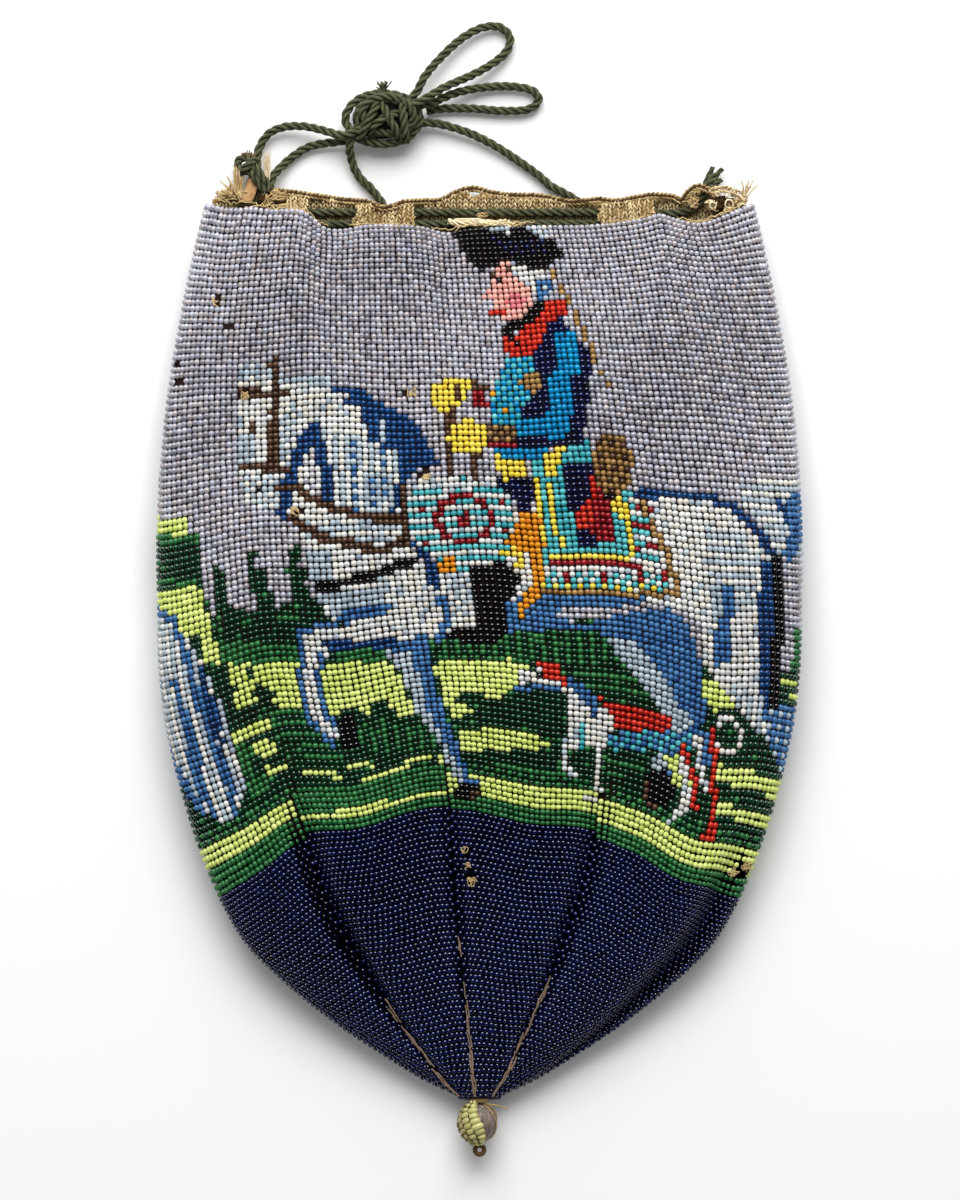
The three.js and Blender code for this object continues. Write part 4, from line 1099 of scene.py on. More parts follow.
stroke("black", 1, [(54, 30.8), (52.6, 32.3), (50.6, 33.2)])
fill("black", [(45.2, 23.2), (45.6, 22.5), (47.6, 22.2), (51, 23.2), (54.6, 24.2), (56.5, 25.7),
               (55.5, 26.4), (54.9, 27.1), (52.9, 27), (50.7, 26.3), (49.4, 26.8), (48.4, 27.2),
               (47.9, 28.1), (47.6, 27.1), (46.8, 26.3), (45.9, 25.1)])
fill("black", [(45.2, 23), (45.6, 22), (54.4, 22), (55.2, 24.2), (56.4, 25.6), (50, 25.6)])
fill("navy", [(48.4, 24), (54.6, 24.4), (55.2, 25.6), (50.4, 25.6)], "black", checked)
fill("white", [(48.5, 22), (50.9, 22), (51.1, 23.7), (50, 23.2), (48.8, 23.4)], "pale", rows_even)
fill("white", [(51.9, 22), (54, 22), (55, 24.2), (53.6, 23.9), (52.6, 23.2)], "pale", checked)
stroke("bronze", 0.45, [(55.2, 27.6), (57.2, 31), (58.9, 34.8), (59.4, 36.6)])
stroke("bronze", 0.4, [(60, 37.2), (60.7, 38.8)])

# Hound
fill("lime", [(66.2, 75.5), (68, 75.5), (68.9, 77.6), (69, 79.2), (67.4, 78.7)])
fill("mid_blue", [(69, 73), (71, 73), (71, 76.4), (69.8, 76.4)])
fill("red", [(52.9, 66.3), (55.8, 66.3), (56.7, 68.7), (55.9, 68.7), (55.2, 67.8), (54, 67.6)])
fill("white", [(51.9, 67), (54.1, 66.8), (53.8, 67.5), (55.8, 67.9), (56.2, 68.5), (52.2, 68.3)])
oval("black", 53.6, 67.5, 0.3, 0.3)
stroke("mid_blue", 0.5, [(51.6, 68.7), (55.6, 68.8)])
fill("white", [(56, 68.6), (57.6, 68.3), (59.6, 70.6), (60.8, 70.8), (61.5, 73), (60.4, 74.5), (57, 74.7),
               (56.4, 71.4), (57, 70.4)])
stroke("mid_blue", 0.9, [(57, 68.1), (58.4, 69.3), (59.4, 70.5)])
stroke("teal", 0.6, [(57.9, 72.5), (58, 74.4)])
stroke("royal", 0.5, [(59, 70.6), (59.1, 71.6)])
fill("red", [(59.5, 69.3), (60.8, 70.1), (66.9, 71.6), (66.6, 73.1), (61.8, 73.1), (60.6, 71)])
fill("teal", [(60.3, 73.2), (65.6, 73), (69.2, 73.2), (68.6, 75.2), (66, 75.1), (61, 74.9)], "mid_blue",
     checked)
stroke("white", 0.65, [(56.8, 73.8), (56.3, 75), (56.5, 76.7), (57.3, 77.2)])
stroke("white", 0.65, [(59.7, 73.6), (59.8, 79.4)])
stroke("white", 0.6, [(58.7, 79.6), (60, 79.6)])
stroke("white", 0.75, [(67.9, 75.8), (68.6, 78.8), (68.4, 80.6), (67, 82)])
stroke("red", 0.65, [(68.3, 74.8), (69.2, 78), (69.4, 80.7)])
stroke("white", 0.65, [(69.6, 73.8), (69.7, 76.2), (70.5, 78.6)])
stroke("red", 0.7, [(71.2, 73.2), (71.2, 80), (71, 83.6), (70.4, 83.7)])
stroke("white", 0.66, [(71.7, 72.4), (72.3, 71.7), (73.1, 71.9), (73.8, 72.8), (73.9, 73.8), (73.5, 74.8),
                       (72.8, 75.5), (72, 75.3), (71.7, 74.6)])

# The hidden back goes on plainly: sky, two greens, the lime line and the navy base
hidden = ~seen
for start, name in ((0.09, "mid_green"), (0.1, "dark_green"), (BASE - 0.0066, "lime"),
                    (BASE - 0.0018, "mid_green"), (BASE, "navy")):
    chosen[hidden & (bead_drop > start)] = names.index(name)

# Each batch of beads has some of a neighbouring shade in it
for batch, stray, share in (("lilac", "lilac_blue", 0.25), ("lilac", "lilac_warm", 0.25),
                            ("white", "cream", 0.3), ("white", "pale", 0.12),
                            ("dark_green", "mid_green", 0.05)):
    chosen[(chosen == names.index(batch)) & (seeded.random(len(chosen)) < share)] = names.index(stray)

# Places on the squared paper where beads are lost or torn away, with their half sizes
front = bead_share < 0.5
LOST = [(21.8, 30.4, 0.5, 0.6), (22.9, 32.8, 0.4, 0.4), (17.8, 36.6, 0.4, 0.4), (18, 38.5, 0.4, 0.4),
        (24.6, 39.6, 0.6, 0.5), (29.9, 51.3, 0.7, 0.5), (42.5, 47.5, 0.6, 0.5), (40.8, 39.8, 0.6, 0.3),
        (74.2, 87, 0.8, 0.7), (46.8, 85, 0.35, 0.5), (47.1, 87.4, 0.4, 0.6)]
lost = np.zeros(len(across), bool)
for x, y, wide, high in LOST:
    lost |= front & (((across - x) / wide) ** 2 + ((down - y) / high) ** 2 < 1)


def stock_shape(segments, rings, fullness, sunk=-2.0):
    """A small sphere primitive drawn out into a barrel along Z: its points, faces and map. The faces
    that look more than sunk towards the ground, where nothing sees them, are left off."""
    bpy.ops.object.select_all(action="DESELECT")
    bpy.ops.mesh.primitive_uv_sphere_add(segments=segments, ring_count=rings, radius=1, calc_uvs=True)
    shape = bpy.context.object
    bpy.ops.object.mode_set(mode="EDIT")
    bpy.ops.mesh.select_all(action="DESELECT")
    bpy.ops.object.mode_set(mode="OBJECT")
    for face in shape.data.polygons:
        face.select = face.normal.x < sunk * math.hypot(face.normal.x, face.normal.y)
    bpy.ops.object.mode_set(mode="EDIT")
    bpy.ops.mesh.delete(type="FACE")
    bpy.ops.object.mode_set(mode="OBJECT")
    points = np.array([v.co[:] for v in shape.data.vertices])
    wide = np.maximum(np.hypot(points[:, 0], points[:, 1]), 0.01)
    points[:, :2] *= (wide ** (fullness - 1))[:, None] * (wide > 0.02)[:, None]
    faces = [list(p.vertices) for p in shape.data.polygons]
    map_points = np.array([loop.uv[:] for loop in shape.data.uv_layers.active.data])
    bpy.data.objects.remove(shape)
    return points, faces, map_points


TABLE_GAP = 0.00002  # nothing lies lower than this above the table
MAP_EDGE = 0.05  # the free edge of a copy's place on the map


def scattered(name, shape, places, axes, ups, outs, halves, tones, material):
    """Many copies of one small shape as one mesh: halves are its half sizes along axis, up and out."""
    points, faces, map_points = shape
    count = len(places)
    verts = places[:, None, :] + points[None, :, 2:3] * (axes * halves[:, 0:1])[:, None, :]
    verts = verts + points[None, :, 1:2] * (ups * halves[:, 1:2])[:, None, :]
    verts = verts + points[None, :, 0:1] * (outs * halves[:, 2:3])[:, None, :]
    verts = verts.reshape(-1, 3)
    verts[:, 2] = np.maximum(verts[:, 2], TABLE_GAP)
    corner = np.concatenate([np.array(f) for f in faces])
    corners = (corner[None, :] + (np.arange(count) * len(points))[:, None]).ravel()
    sizes = np.tile([len(f) for f in faces], count)
    mesh = bpy.data.meshes.new(name)
    mesh.vertices.add(len(verts))
    mesh.vertices.foreach_set("co", verts.ravel())
    mesh.loops.add(len(corners))
    mesh.loops.foreach_set("vertex_index", corners.astype(np.int32))
    mesh.polygons.add(len(sizes))
    mesh.polygons.foreach_set("loop_start", np.append(0, np.cumsum(sizes)[:-1]).astype(np.int32))
    mesh.polygons.foreach_set("use_smooth", np.ones(len(sizes), bool))
    cells = math.ceil(math.sqrt(count))
    cell = np.column_stack([np.arange(count) % cells, np.arange(count) // cells])
    layer = mesh.uv_layers.new(name="OFBake")
    spread = (cell[:, None, :] + MAP_EDGE + (1 - 2 * MAP_EDGE) * np.clip(map_points, 0, 1)[None]) / cells
    layer.data.foreach_set("uv", spread.ravel())
    tone = mesh.attributes.new("tone", "FLOAT", "POINT")
    tone.data.foreach_set("value", np.repeat(np.clip(tones, 0, 1), len(points)))
    mesh.update(calc_edges=True)
    mesh.validate()
    piece = bpy.data.objects.new(name, mesh)
    scene.collection.objects.link(piece)
    return finished(piece, material)


def toned(name, dark, light, roughness, coat, index=1.8):
    """A material whose shade goes from dark to light with the tone of each copy."""
    material, surface, place = new_material(name, roughness)
    join(mixed(place, tone_of(place), dark, light), surface.inputs["Base Color"])
    surface.inputs["Specular IOR Level"].default_value = 0.0
    surface.inputs["Coat Weight"].default_value = coat
    surface.inputs["Coat Roughness"].default_value = 0.05
    surface.inputs["Coat IOR"].default_value = index
    return material


LONG_SHARE = 0.99  # how much of its place in the row a bead takes up
TALL_SHARE = 0.505  # half of a bead against the pitch of the rows
LARGEST = 1.04  # no bead is larger than this against the usual one


def bead_piece(name, picked, shape, material):
    """All beads of one glass on one side."""
    count = int(picked.sum())
    tilt = seeded.normal(0.05, 0.08, count)[:, None]
    axes = bead_along[picked] * np.cos(tilt) + bead_up[picked] * np.sin(tilt)
    ups = bead_up[picked] * np.cos(tilt) - bead_along[picked] * np.sin(tilt)
    size = seeded.normal(1, 0.04, (count, 3))
    long = bead_half[picked] * LONG_SHARE
    halves = np.column_stack([long, bead_tall[picked] * TALL_SHARE, np.full(count, BEAD_DEEP)])
    drift = 0.12 * np.sin(across[picked] / 7.0 + down[picked] / 5.0)
    tones = seeded.normal(0.5, 0.22, count) + drift
    return scattered(name, shape, bead_places[picked], axes, ups, bead_out[picked],
                     halves * np.minimum(size, LARGEST), tones, material)


glasses = {name: toned("glass_" + name, *GLASS[name]) for name in names}
barrel = stock_shape(6, 5, 0.78, -0.45)
for index, name in enumerate(names):
    picked = front & ~lost & (chosen == index)
    if picked.any():
        bead_piece("front_beads_" + name, picked, barrel, glasses[name])


# Back beads.
# The same beads on the side that lies on the table. They can't be seen in the photograph, so the sky,
# the greens and the navy base simply go round, and the beads are of a simpler form.
plain_barrel = stock_shape(4, 4, 0.8, -0.2)
for index, name in enumerate(names):
    picked = ~front & (chosen == index)
    if picked.any():
        bead_piece("back_beads_" + name, picked, plain_barrel, glasses[name])


# Heading band.
# Unbeaded openwork knitting of ecru linen yarn that goes on above the last beaded row. Three stretches
# of it fold over the cords as tabs. Each is a thin sheet with its columns of stitches standing on it.
# The sheet's linen is darker than the stitches that stand on it: painted shade in the openwork between them
ecru = yarn_material("ecru_linen_and_shade", colour(102, 76, 40), colour(184, 154, 102), 3600, 0.5)
stitch_ecru = toned("stitch_ecru", colour(150, 120, 72), colour(236, 217, 172), 0.7, 0.0)
stitch_shape = stock_shape(4, 4, 0.8)
chain_route = raised([
    (-0.0438, 0.0047, 0.0040), (-0.0388, 0.0041, 0.0042), (-0.034, 0.0035, 0.0026),
    (-0.0297, 0.0028, 0.0026), (-0.0243, 0.0022, 0.0048), (-0.0206, 0.0009, 0.0056),
    (-0.0161, 0.0022, 0.0048), (-0.012, 0.0026, 0.0028), (-0.0085, 0.0028, 0.0022),
    (-0.0046, 0.0047, 0.002), (-0.0012, 0.0054, 0.002), (0.0023, 0.0045, 0.002), (0.0062, 0.0039, 0.002),
    (0.0133, 0.0037, 0.002), (0.0198, 0.0024, 0.0026), (0.026, 0.0028, 0.0044), (0.0295, 0.0024, 0.005),
    (0.0335, 0.0031, 0.0048), (0.0375, 0.0037, 0.0044), (0.042, 0.0035, 0.003), (0.0438, 0.0027, 0.0036),
    (0.0452, 0.0044, 0.0048), (0.0472, 0.0056, 0.0056), (0.0492, 0.005, 0.0056), (0.0508, 0.004, 0.0056),
])
chain_line = spline(chain_route, 0.0004)
TAB_SPANS = [(-0.0418, 0.005), (-0.0267, 0.0119), (0.0267, 0.0108)]
TAB_FALL = raised([(0, 0.0012, 0.0052), (0, -0.0014, 0.0053), (0, -0.0036, 0.005), (0, -0.0048, 0.0034),
                   (0, -0.0052, 0.0018)])


def sheet_piece(name, rows, thickness, material):
    """A thin sheet through rows of points."""
    piece = mesh_piece(name, np.vstack(rows), lattice(rows, False))
    piece.modifiers.new("thickness", "SOLIDIFY").thickness = thickness
    bpy.ops.object.modifier_apply(modifier="thickness")
    return finished(piece, material)


BAND_LOW = MOUTH - 0.009
BAND_HALF = 0.0575
BAND_CORNER = 0.058  # where the upper edge ends, beyond the chain, to each side
CORNER_TOP = MOUTH + 0.003
HOLE = 0.0018  # a worn hole under the chain, at the middle
STITCH_STEP = 0.00066  # from column to column of the stitches
STITCH_ROW = 0.00092  # and from row to row
STITCH_END = 0.0568  # the last columns, to each side
STITCH_LOW = MOUTH - 0.0056
STITCH_SLANT = 0.38  # the columns lean to the left and the right in turn
STITCH_LIFT = 0.0004  # the stitches stand this far off the sheet
STITCH_HALF = [0.00062, 0.00024, 0.00024]  # half sizes of a stitch


def band_top(x):
    """The height of the band's upper edge: the chain, slopes beyond its ends, and the hole."""
    edge_x = np.concatenate([[-BAND_CORNER], chain_line[:, 0], [BAND_CORNER]])
    edge_y = np.concatenate([[CORNER_TOP], chain_line[:, 1], [CORNER_TOP]])
    worn = HOLE * np.exp(-(((x + 0.0012) / 0.0011) ** 2))
    return np.interp(x, edge_x, edge_y) - 0.0003 - worn


def band_rise(x, level):
    """How high the band lies: it rises to the mouth's corners, and to the chain over the cords' ends."""
    corner = np.clip((np.abs(x) - 0.049) / 0.009, 0, 1) ** 1.5
    return 0.0013 + 0.0042 * corner + 0.00015 * np.sin(x * 1500) + 0.0012 * level**3


band_x = np.linspace(-BAND_HALF, BAND_HALF, 116)
band_rows = []
for level in np.linspace(0, 1, 9):
    band_y = BAND_LOW + (band_top(band_x) - BAND_LOW) * level
    band_rows.append(np.column_stack([band_x, band_y, band_rise(band_x, level)]))
band_sheet = sheet_piece("heading_sheet", band_rows, 0.0005, ecru)
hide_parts("heading_band")

stitch_places = []
stitch_axes = []
for column, x in enumerate(np.arange(-STITCH_END, STITCH_END, STITCH_STEP)):
    slant = STITCH_SLANT if column % 2 else -STITCH_SLANT
    top = float(band_top(x))
    for y in np.arange(STITCH_LOW, top, STITCH_ROW):
        level = (y - BAND_LOW) / (top - BAND_LOW)
        stitch_places.append((x, y, float(band_rise(x, level)) + STITCH_LIFT))
        stitch_axes.append((slant, 1, 0))
for number, (start, wide) in enumerate(TAB_SPANS):
    lines = []
    for column, x in enumerate(np.arange(start, start + wide + 1e-6, STITCH_STEP)):
        nearest = chain_line[np.argmin(np.abs(chain_line[:, 0] - x))]
        ragged = 0.0005 * math.sin(x * 900 + start * 3000)
        upper = (x, nearest[1] - 0.0002, nearest[2])
        fall = spline([upper] + [(x + ragged, y, z) for _, y, z in TAB_FALL], 0.0009)
        fall[:, 2] += 0.00012 * math.sin(x * 2600)
        lines.append(fall[np.linspace(0, len(fall) - 1, 11).round().astype(int)])
        slant = STITCH_SLANT if column % 2 else -STITCH_SLANT
        for point, way in zip(fall, unit(np.gradient(fall, axis=0))):
            stitch_places.append((point[0], point[1] - way[2] * STITCH_LIFT,
                                  point[2] - way[1] * STITCH_LIFT))
            stitch_axes.append((slant, way[1], way[2]))
    sheet_piece(f"heading_tab_sheet_{number + 1}", lines, 0.0004, ecru)
stitch_places = np.array(stitch_places)
stitch_places += seeded.normal(0, 0.00008, stitch_places.shape)
stitch_axes = unit(np.array(stitch_axes))
stitch_ups = unit(np.cross(stitch_axes, (0.02, 0.01, 1)))
stitch_total = len(stitch_places)
scattered("heading_stitches", stitch_shape, stitch_places, stitch_axes, stitch_ups,
          np.cross(stitch_axes, stitch_ups), np.tile(STITCH_HALF, (stitch_total, 1)),
          seeded.normal(0.55, 0.25, stitch_total), stitch_ecru)


# Chain edge.
# A crocheted chain of brown and gold yarn along the top of the band, worn and wavy. A dark core shows
# as dashes between its light links.
chain_brown_and_shade = yarn_material("chain_brown_and_shade", colour(34, 22, 12), colour(84, 60, 34), 3600, 0.5)
link_gold = toned("link_gold", colour(112, 86, 50), colour(202, 176, 128), 0.65, 0.0)
chain_core = yarn("chain_core", [chain_line], 0.0011, 2)
finished(chain_core, chain_brown_and_shade)
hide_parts("chain_edge")
LINK_STEP = 0.00095
LINK_ASIDE = 0.00044  # the two links of a pair lie this far from the chain's middle
LINK_LIFT = 0.00042
LINK_SLANT = 0.42
LINK_HALF = [0.0007, 0.00027, 0.0003]  # half sizes of a link


def chain_links(name, line, material):
    """Pairs of slanted links along a line, on the upper side."""
    points = spline(line, LINK_STEP)
    ahead = unit(np.gradient(points, axis=0))
    side = unit(np.cross((0, 0, 1), ahead))
    up = np.cross(ahead, side)
    places = []
    axes = []
    for hand in (-1, 1):
        places.append(points + side * (LINK_ASIDE * hand) + up * LINK_LIFT)
        axes.append(ahead + side * (LINK_SLANT * hand))
    places = np.vstack(places)
    axes = unit(np.vstack(axes))
    outs = np.vstack([up, up])
    return scattered(name, stitch_shape, places, axes, np.cross(outs, axes), outs,
                     np.tile(LINK_HALF, (len(places), 1)),
                     seeded.normal(0.5, 0.25, len(places)), material)


chain_links("chain_links", chain_route, link_gold)
corner_route = raised([(0.0504, 0.0047, 0.0058), (0.0528, 0.0050, 0.006), (0.0552, 0.0045, 0.006),
                       (0.0572, 0.0032, 0.0062)])
chain_links("right_corner_links", corner_route, stitch_ecru)


# Loose yarn.
# Worn heading yarn at both corners of the mouth, ragged loops along the edge, a rolled bit of knitting,
# a scrap of the tan lining, threads where beads are gone, and dark tangles that paint the shade in the
# corners.
# Most of it is ecru yarn that has pulled out.
FINE = 0.00026
ecru_thread = yarn_material("ecru_thread", colour(152, 116, 62), colour(240, 218, 166), 2600, 0.4)
cream_thread = yarn_material("cream_thread", colour(206, 182, 136), colour(250, 238, 208), 2600, 0.4)
tan_lining = yarn_material("tan_lining", colour(128, 84, 44), colour(218, 176, 126), 1400, 0.5)


def tangles(patches, bends=6):
    """Pulled-out yarn that winds about inside flat patches. Each patch has its middle, given from the mouth
    line, the number of its threads, and its half width and half height."""
    lines = []
    for x, y, z, count, wide, high in patches:
        for _ in range(count):
            points = []
            for _ in range(bends):
                aside = dice.uniform(-1, 1)
                along = dice.uniform(-1, 1)
                lift = dice.uniform(-0.0022, 0.0005)
                points.append((x + wide * aside, y + MOUTH + high * along, z + lift))
            lines.append(spline(points, 0.0003))
    return lines


def loop_line(x, y, z, size, turn_by):
    """A little loop of yarn with its two feet at one place, given from the mouth line."""
    flat = [(-0.35, 0), (-0.6 + dice.uniform(-0.15, 0.1), 0.7), (-0.3, 1.4 + dice.uniform(-0.3, 0.2)),
            (0.3, 1.3), (0.6 + dice.uniform(-0.1, 0.2), 0.6), (0.2, -0.1)]
    c = math.cos(turn_by)
    s = math.sin(turn_by)
    points = [(x + size * (u * c - v * s), y + size * (u * s + v * c), z + 0.3 * size * v) for u, v in flat]
    return spline(raised(points), size / 4)


def loose_piece(name, lines, thickness, material):
    return finished(yarn(name, lines, thickness, 0), material)


threads = tangles([
    (-0.0548, 0.0038, 0.0058, 12, 0.0022, 0.0009), (-0.0517, 0.0036, 0.0056, 16, 0.0016, 0.0014),
    (-0.0458, 0.0028, 0.006, 14, 0.0014, 0.0016), (-0.0436, 0.0036, 0.0056, 14, 0.0018, 0.0011),
    (-0.0432, 0.0006, 0.0056, 14, 0.0026, 0.0014), (-0.0386, 0.0004, 0.0052, 8, 0.0012, 0.0016),
    (-0.0268, -0.0022, 0.0056, 7, 0.0009, 0.0014), (-0.0148, -0.002, 0.0058, 8, 0.001, 0.0018),
    (0.0262, -0.0006, 0.0056, 5, 0.0007, 0.0016), (0.0372, -0.001, 0.006, 8, 0.0011, 0.0016),
    (0.0462, 0.0022, 0.0054, 6, 0.0014, 0.0014), (0.0504, 0.0014, 0.0062, 8, 0.0012, 0.0012),
    (0.0541, 0.0004, 0.0066, 12, 0.0011, 0.0008), (0.0562, 0.0026, 0.0062, 8, 0.0012, 0.0009),
    (0.0004, -0.0004, 0.0048, 5, 0.0014, 0.0006), (0.0086, -0.0026, 0.0052, 6, 0.0018, 0.0006),
])
for first, last, height in ((0.02, 0.1, 0.0001), (0.14, 0.19, 0.0003), (0.21, 0.3, 0.0001),
                            (0.36, 0.4, 0.0003), (0.42, 0.48, 0.0001), (0.05, 0.12, 0.0005),
                            (0.23, 0.28, 0.0005), (0.43, 0.47, 0.0005)):
    count = round((last - first) * 560)
    edge = on_bag(np.full(count, height), np.linspace(first, last, count))
    edge += seeded.normal(0, 0.00022, edge.shape)
    edge[:, 1] += 0.0004
    edge[:, 2] -= 0.0008
    threads.append(spline(edge, 0.0004))
loose_piece("heading_threads", threads, FINE, ecru_thread)

bunches = []
for x, y, z, count, reach, aim, spread in (
        (-0.0517, 0.0034, 0.0058, 20, 0.0066, (-0.14, 1, -0.1), 0.16),
        (-0.0524, 0.0036, 0.0058, 10, 0.0044, (-0.5, 1, 0), 0.3),
        (-0.0542, 0.0036, 0.006, 9, 0.003, (-0.2, 1, 0), 0.5),
        (-0.0556, 0.0034, 0.006, 8, 0.0022, (-1, 0.3, 0), 0.5),
        (0.0572, 0.0028, 0.0062, 8, 0.0044, (0.5, 1, 0), 0.3),
        (0.0566, 0.0022, 0.0064, 5, 0.0022, (0.9, 0.6, 0), 0.5)):
    bunches += frayed((x, y, z), aim, count, reach, spread)
bunches += tangles([(-0.0545, 0.0042, 0.0062, 6, 0.0014, 0.0008),
                    (-0.0444, 0.0044, 0.006, 9, 0.0014, 0.0008)], 5)
loose_piece("heading_bunches", bunches, 0.0003, ecru_thread)

knots = tangles([
    (0.0498, 0.0049, 0.006, 4, 0.0007, 0.0006), (0.0516, 0.0051, 0.006, 6, 0.0009, 0.0006),
    (0.0536, 0.0051, 0.006, 6, 0.0009, 0.0006), (0.0552, 0.0044, 0.0062, 5, 0.0006, 0.0009),
    (0.0496, 0.0022, 0.0062, 4, 0.0009, 0.0006),
], 5)
for x, y, z, size, turn_by in (
        (0.0546, 0.0012, 0.0068, 0.0013, 0.8), (0.0574, 0.0004, 0.007, 0.0012, 0.9),
        (0.0507, 0.0008, 0.0064, 0.001, 0.4), (0.0532, 0.0036, 0.0062, 0.0008, -0.8),
        (0.0518, 0.0036, 0.0062, 0.0007, 0.6)):
    knots.append(loop_line(x, y, z, size, turn_by))
loose_piece("right_corner_knots", knots, 0.00042, cream_thread)

# Painted shade: dark yarn tangles in the hollows at the mouth's corners and between the lining scrap and
# the beads, where the inside lies in shadow
corner_shade_tangles = tangles([
    (0.052, 0.0024, 0.0054, 26, 0.0013, 0.0013), (-0.0494, 0.0012, 0.0056, 10, 0.0022, 0.0006),
    (-0.047, 0.003, 0.0056, 10, 0.0009, 0.0012), (-0.0425, 0.0, 0.0052, 10, 0.0024, 0.0012),
])
loose_piece("corner_shade_yarn", corner_shade_tangles, 0.0005, chain_brown_and_shade)

wisps = frayed((-0.0459, 0.0076, 0.0042), (-0.04, 1, -0.12), 30, 0.0054, 0.09)
loose_piece("pale_wisps", wisps, 0.00014, cream_thread)

roll_line = spline(raised([
    (-0.0068, -0.0019, 0.0048), (-0.0044, -0.0024, 0.0049), (-0.0012, -0.0019, 0.0048),
    (0.0024, -0.0023, 0.0049), (0.0052, -0.0023, 0.0049), (0.0076, -0.0029, 0.0048),
]), 0.0004)
roll_yarns = plies(roll_line, 4, 0.00046, 0.0056)
roll_yarns = [line + seeded.normal(0, 0.00007, line.shape) for line in roll_yarns]
roll_yarns += tangles([(-0.0012, -0.0021, 0.0055, 5, 0.005, 0.0008),
                       (0.0038, -0.0024, 0.0055, 5, 0.0034, 0.0008)])
loose_piece("rolled_knitting", roll_yarns, 0.0006, cream_thread)

scrap_rows = []
for v in np.linspace(0, 1, 9):
    u = np.linspace(-1, 1, 7)
    wide = 0.0014 - 0.0003 * v
    scrap_x = -0.0505 + wide * u + 0.0016 * v
    scrap_y = MOUTH + 0.0022 + 0.0048 * v - 0.0009 * u * v
    scrap_z = 0.0058 + 0.0005 * (1 - u**2) - 0.001 * v + 0.0002 * np.sin(5 * u + 4 * v)
    scrap_rows.append(np.column_stack([scrap_x, scrap_y, scrap_z]))
sheet_piece("lining_scrap", scrap_rows, 0.0003, tan_lining)


def seam_bits(share, first, last, bare):
    """Worn yarn in a dart of the base: short threads that lie along it, left out where it is bare."""
    bits = []
    for drop in np.arange(first, last, 0.0011):
        if seeded.random() < bare:
            continue
        drops = np.clip(drop + np.linspace(0, seeded.uniform(0.002, 0.0048), 5), 0, BAG_LENGTH - END_GAP)
        aside = seeded.normal(0, 0.0003) + seeded.normal(0, 0.00012, 5)
        points = on_bag(drops, share + aside / girth_at(drop))
        points[:, 2] += seeded.uniform(0, 0.0004)
        bits.append(spline(points, 0.0004))
    return bits


def tear_lines(x, y, size, count):
    """Curls of ground yarn on the front, about a place on the squared paper."""
    near = np.argmin(np.where(front, (across - x) ** 2 + (down - y) ** 2, np.inf))
    middle = bead_places[near] + bead_out[near] * 0.0005
    curls = []
    for _ in range(count):
        reach = seeded.uniform(-size, size, (6, 2))
        points = middle + reach[:, :1] * bead_along[near] + reach[:, 1:] * bead_up[near]
        curls.append(spline(points + bead_out[near] * seeded.uniform(0, 0.0003), 0.0003))
    return curls


seams = []
for dart, first, last, bare in ((0, 0.165, 0.189, 0.3), (1, 0.156, 0.17, 0.5), (1, 0.17, 0.1896, 0.05),
                                (2, 0.163, 0.189, 0.25)):
    seams += seam_bits(FIRST_DART + dart / GORES, first, last, bare)
seam_brown = yarn_material("seam_brown", colour(56, 44, 38), colour(186, 160, 138), 2200, 0.4)
loose_piece("seam_threads", seams, 0.00034, seam_brown)
tears = []
for x, y, size, count in ((24.6, 39.6, 0.0009, 3), (42.5, 47.5, 0.001, 3), (29.9, 51.3, 0.0011, 3),
                          (46.6, 84.9, 0.0009, 2), (47.0, 86.2, 0.0008, 2), (47.1, 87.8, 0.0011, 3),
                          (41, 39.8, 0.0012, 3), (74.4, 86.6, 0.0014, 4), (73.6, 87.2, 0.0012, 3),
                          (21.8, 30.4, 0.0011, 2)):
    tears += tear_lines(x, y, size, count)
loose_piece("tear_threads", tears, 0.0002, ecru_thread)


# Tassel.
# A turned wooden mould below the tip. Strings of light green beads still cover its left half, gold
# threads show where others have gone, and a little loop of brown yarn ends it.
wood_grey, wood_surface, wood_place = new_material("mould_wood", 0.6)
laid = {"Vector": wood_place, "Rotation": (0, 0, 0.3), "Scale": (5.0, 0.7, 5.0)}
grain = noise(wood_place.node("ShaderNodeMapping", {}, laid), 420.0, 4.0)
wood_shade = mixed(wood_place, grain * 2.2 - 0.6, colour(50, 38, 35), colour(154, 138, 128))
join(wood_shade, wood_surface.inputs["Base Color"])
loop_brown_and_shade = yarn_material("loop_brown_and_shade", colour(46, 32, 18), colour(124, 94, 56), 3600, 0.5)
gold = yarn_material("gold_thread", colour(120, 94, 48), colour(216, 188, 122), 3600, 0.5)
# Painted shade: the neck's gold thread is given a darker gold, as the neck lies in the shadow under the tip
neck_gold_in_shade = yarn_material("neck_gold_in_shade", colour(76, 58, 30), colour(150, 122, 70), 3600, 0.5)
for node, material in (("tassel_mould", wood_grey), ("tassel_neck", neck_gold_in_shade),
                       ("tassel_end_loop", loop_brown_and_shade)):
    node_piece = bpy.data.objects[node]
    node_piece.data.materials.clear()
    node_piece.data.materials.append(material)
low_corner, high_corner = [np.array(corner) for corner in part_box("tassel_mould")]
mould_middle = (low_corner + high_corner) / 2
mould_half = (high_corner - low_corner) / 2


def on_mould(along, degrees, lift):
    """A point over the mould: along it from -1 to 1, round it from the right over the top, in degrees."""
    ring = math.sqrt(max(0, 1 - along**2))
    a = math.radians(degrees)
    wide = mould_half[0] * ring + lift
    y = (mould_half[1] + lift * 0.6) * along
    return mould_middle + np.array([wide * math.cos(a), y, wide * math.sin(a)])


STRING_SLANT = 26  # degrees that a string or thread turns from the mould's middle to its end
FIRST_STRING = 100  # degrees from the right over the top, and from string to string
STRING_TURN = 28
THREAD_STEP = 0.0006
THREAD_REACH = 0.97  # how far along the mould the threads go


def slanted(degrees, lift, reach, step):
    """A slanted line over the mould, nearly from end to end."""
    along = np.linspace(-reach, reach, 9)
    return spline([on_mould(t, degrees + STRING_SLANT * t, lift) for t in along], step)


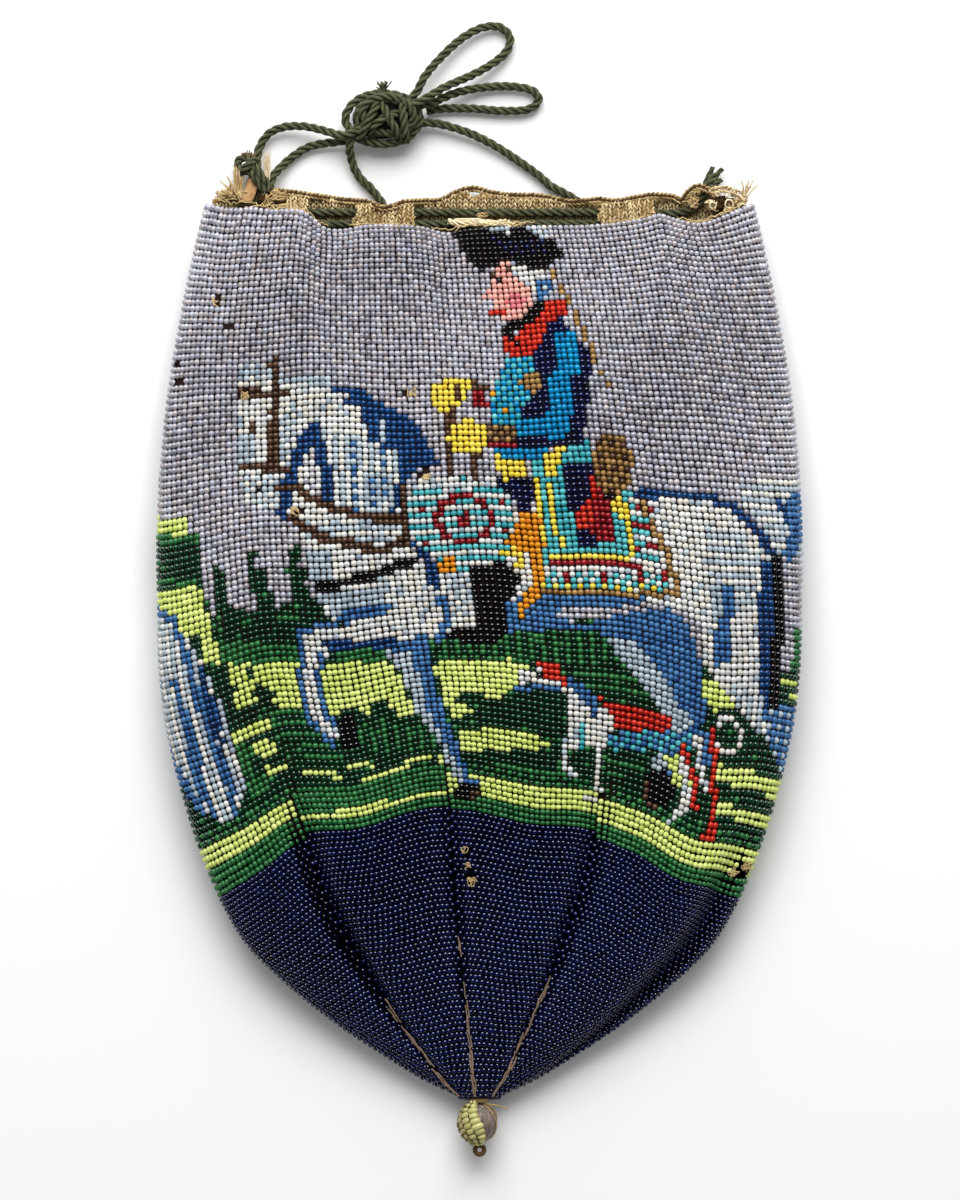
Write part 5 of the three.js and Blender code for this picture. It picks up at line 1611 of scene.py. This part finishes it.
tassel_places = []
tassel_axes = []
tassel_outs = []
tassel_halves = []
tassel_tones = []
for string, tone in enumerate((0.8, 0.7, 0.35, 0.1)):
    line = slanted(FIRST_STRING + STRING_TURN * string, 0.0005, 0.95, 0.00118)
    tassel_tones.append(np.full(len(line), tone))
    narrowed = np.sqrt(np.maximum(0.1, 1 - ((line[:, 1] - mould_middle[1]) / mould_half[1]) ** 2))
    even = np.ones(len(line))
    tassel_halves.append(np.column_stack([0.00062 * even, 0.00122 * narrowed + 0.00006, 0.00066 * even]))
    ahead = unit(np.gradient(line, axis=0))
    tassel_places.append(line)
    tassel_axes.append(ahead)
    tassel_outs.append(unit(squared(line - mould_middle, ahead)))
tassel_places = np.vstack(tassel_places)
tassel_axes = np.vstack(tassel_axes)
tassel_outs = np.vstack(tassel_outs)
tassel_glass = toned("glass_tassel", colour(112, 90, 42), colour(214, 214, 142), 0.2, 0.5)
tassel_strings = scattered("tassel_strings", stock_shape(8, 6, 0.6), tassel_places, tassel_axes,
                           np.cross(tassel_outs, tassel_axes), tassel_outs,
                           np.vstack(tassel_halves) * seeded.normal(1, 0.1, (len(tassel_places), 3)),
                           seeded.normal(np.concatenate(tassel_tones), 0.14), tassel_glass)
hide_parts(*[f"tassel_bead_string_{number}" for number in (1, 2, 3, 4)])
gold_lines = [slanted(degrees, lift, THREAD_REACH, THREAD_STEP)
              for degrees, lift in ((85, 0.0005), (22, 0.0001), (-20, 0.0001))]
gold_lines.append(spline([on_mould(0.98, 50, 0.0002), mould_middle + (0.0042, 0.0036, 0.001),
                          mould_middle + (0.0062, 0.003, 0.0005)], THREAD_STEP))
finished(yarn("tassel_gold_threads", gold_lines, 0.0003, 1), gold)
# Dark brown threads in the gaps between the bead strings: thread, and painted shade in those gaps
gap_thread_lines = [slanted(degrees, 0.0008, THREAD_REACH, THREAD_STEP) for degrees in (114, 142, 170)]
finished(yarn("tassel_gap_threads_and_shade", gap_thread_lines, 0.0004, 1), loop_brown_and_shade)

# Two last rows of beads turn under the end of the tip, above the tassel's neck
RIM_BEADS = 17
last_row = on_bag(np.full(RIM_BEADS, BAG_LENGTH - 0.0001), np.linspace(0.1, 0.4, RIM_BEADS))
rim_places = [last_row - (0, step, sunk) for step, sunk in ((0.0001, 0.0011), (0.0002, 0.0022))]
rim_along = unit(np.vstack([np.gradient(rim, axis=0) for rim in rim_places]))
rim_places = np.vstack(rim_places)
rim_places[:, 2] = np.maximum(rim_places[:, 2], BEAD_DEEP)
rim_out = unit(squared(np.tile([0, -0.8, 0.6], (len(rim_places), 1)), rim_along))
scattered("tip_beads", stock_shape(6, 5, 0.78), rim_places, rim_along,
          np.cross(rim_out, rim_along), rim_out,
          np.tile([0.00045, 0.0006, BEAD_DEEP], (len(rim_places), 1)),
          seeded.normal(0.5, 0.2, len(rim_places)), glasses["navy"])
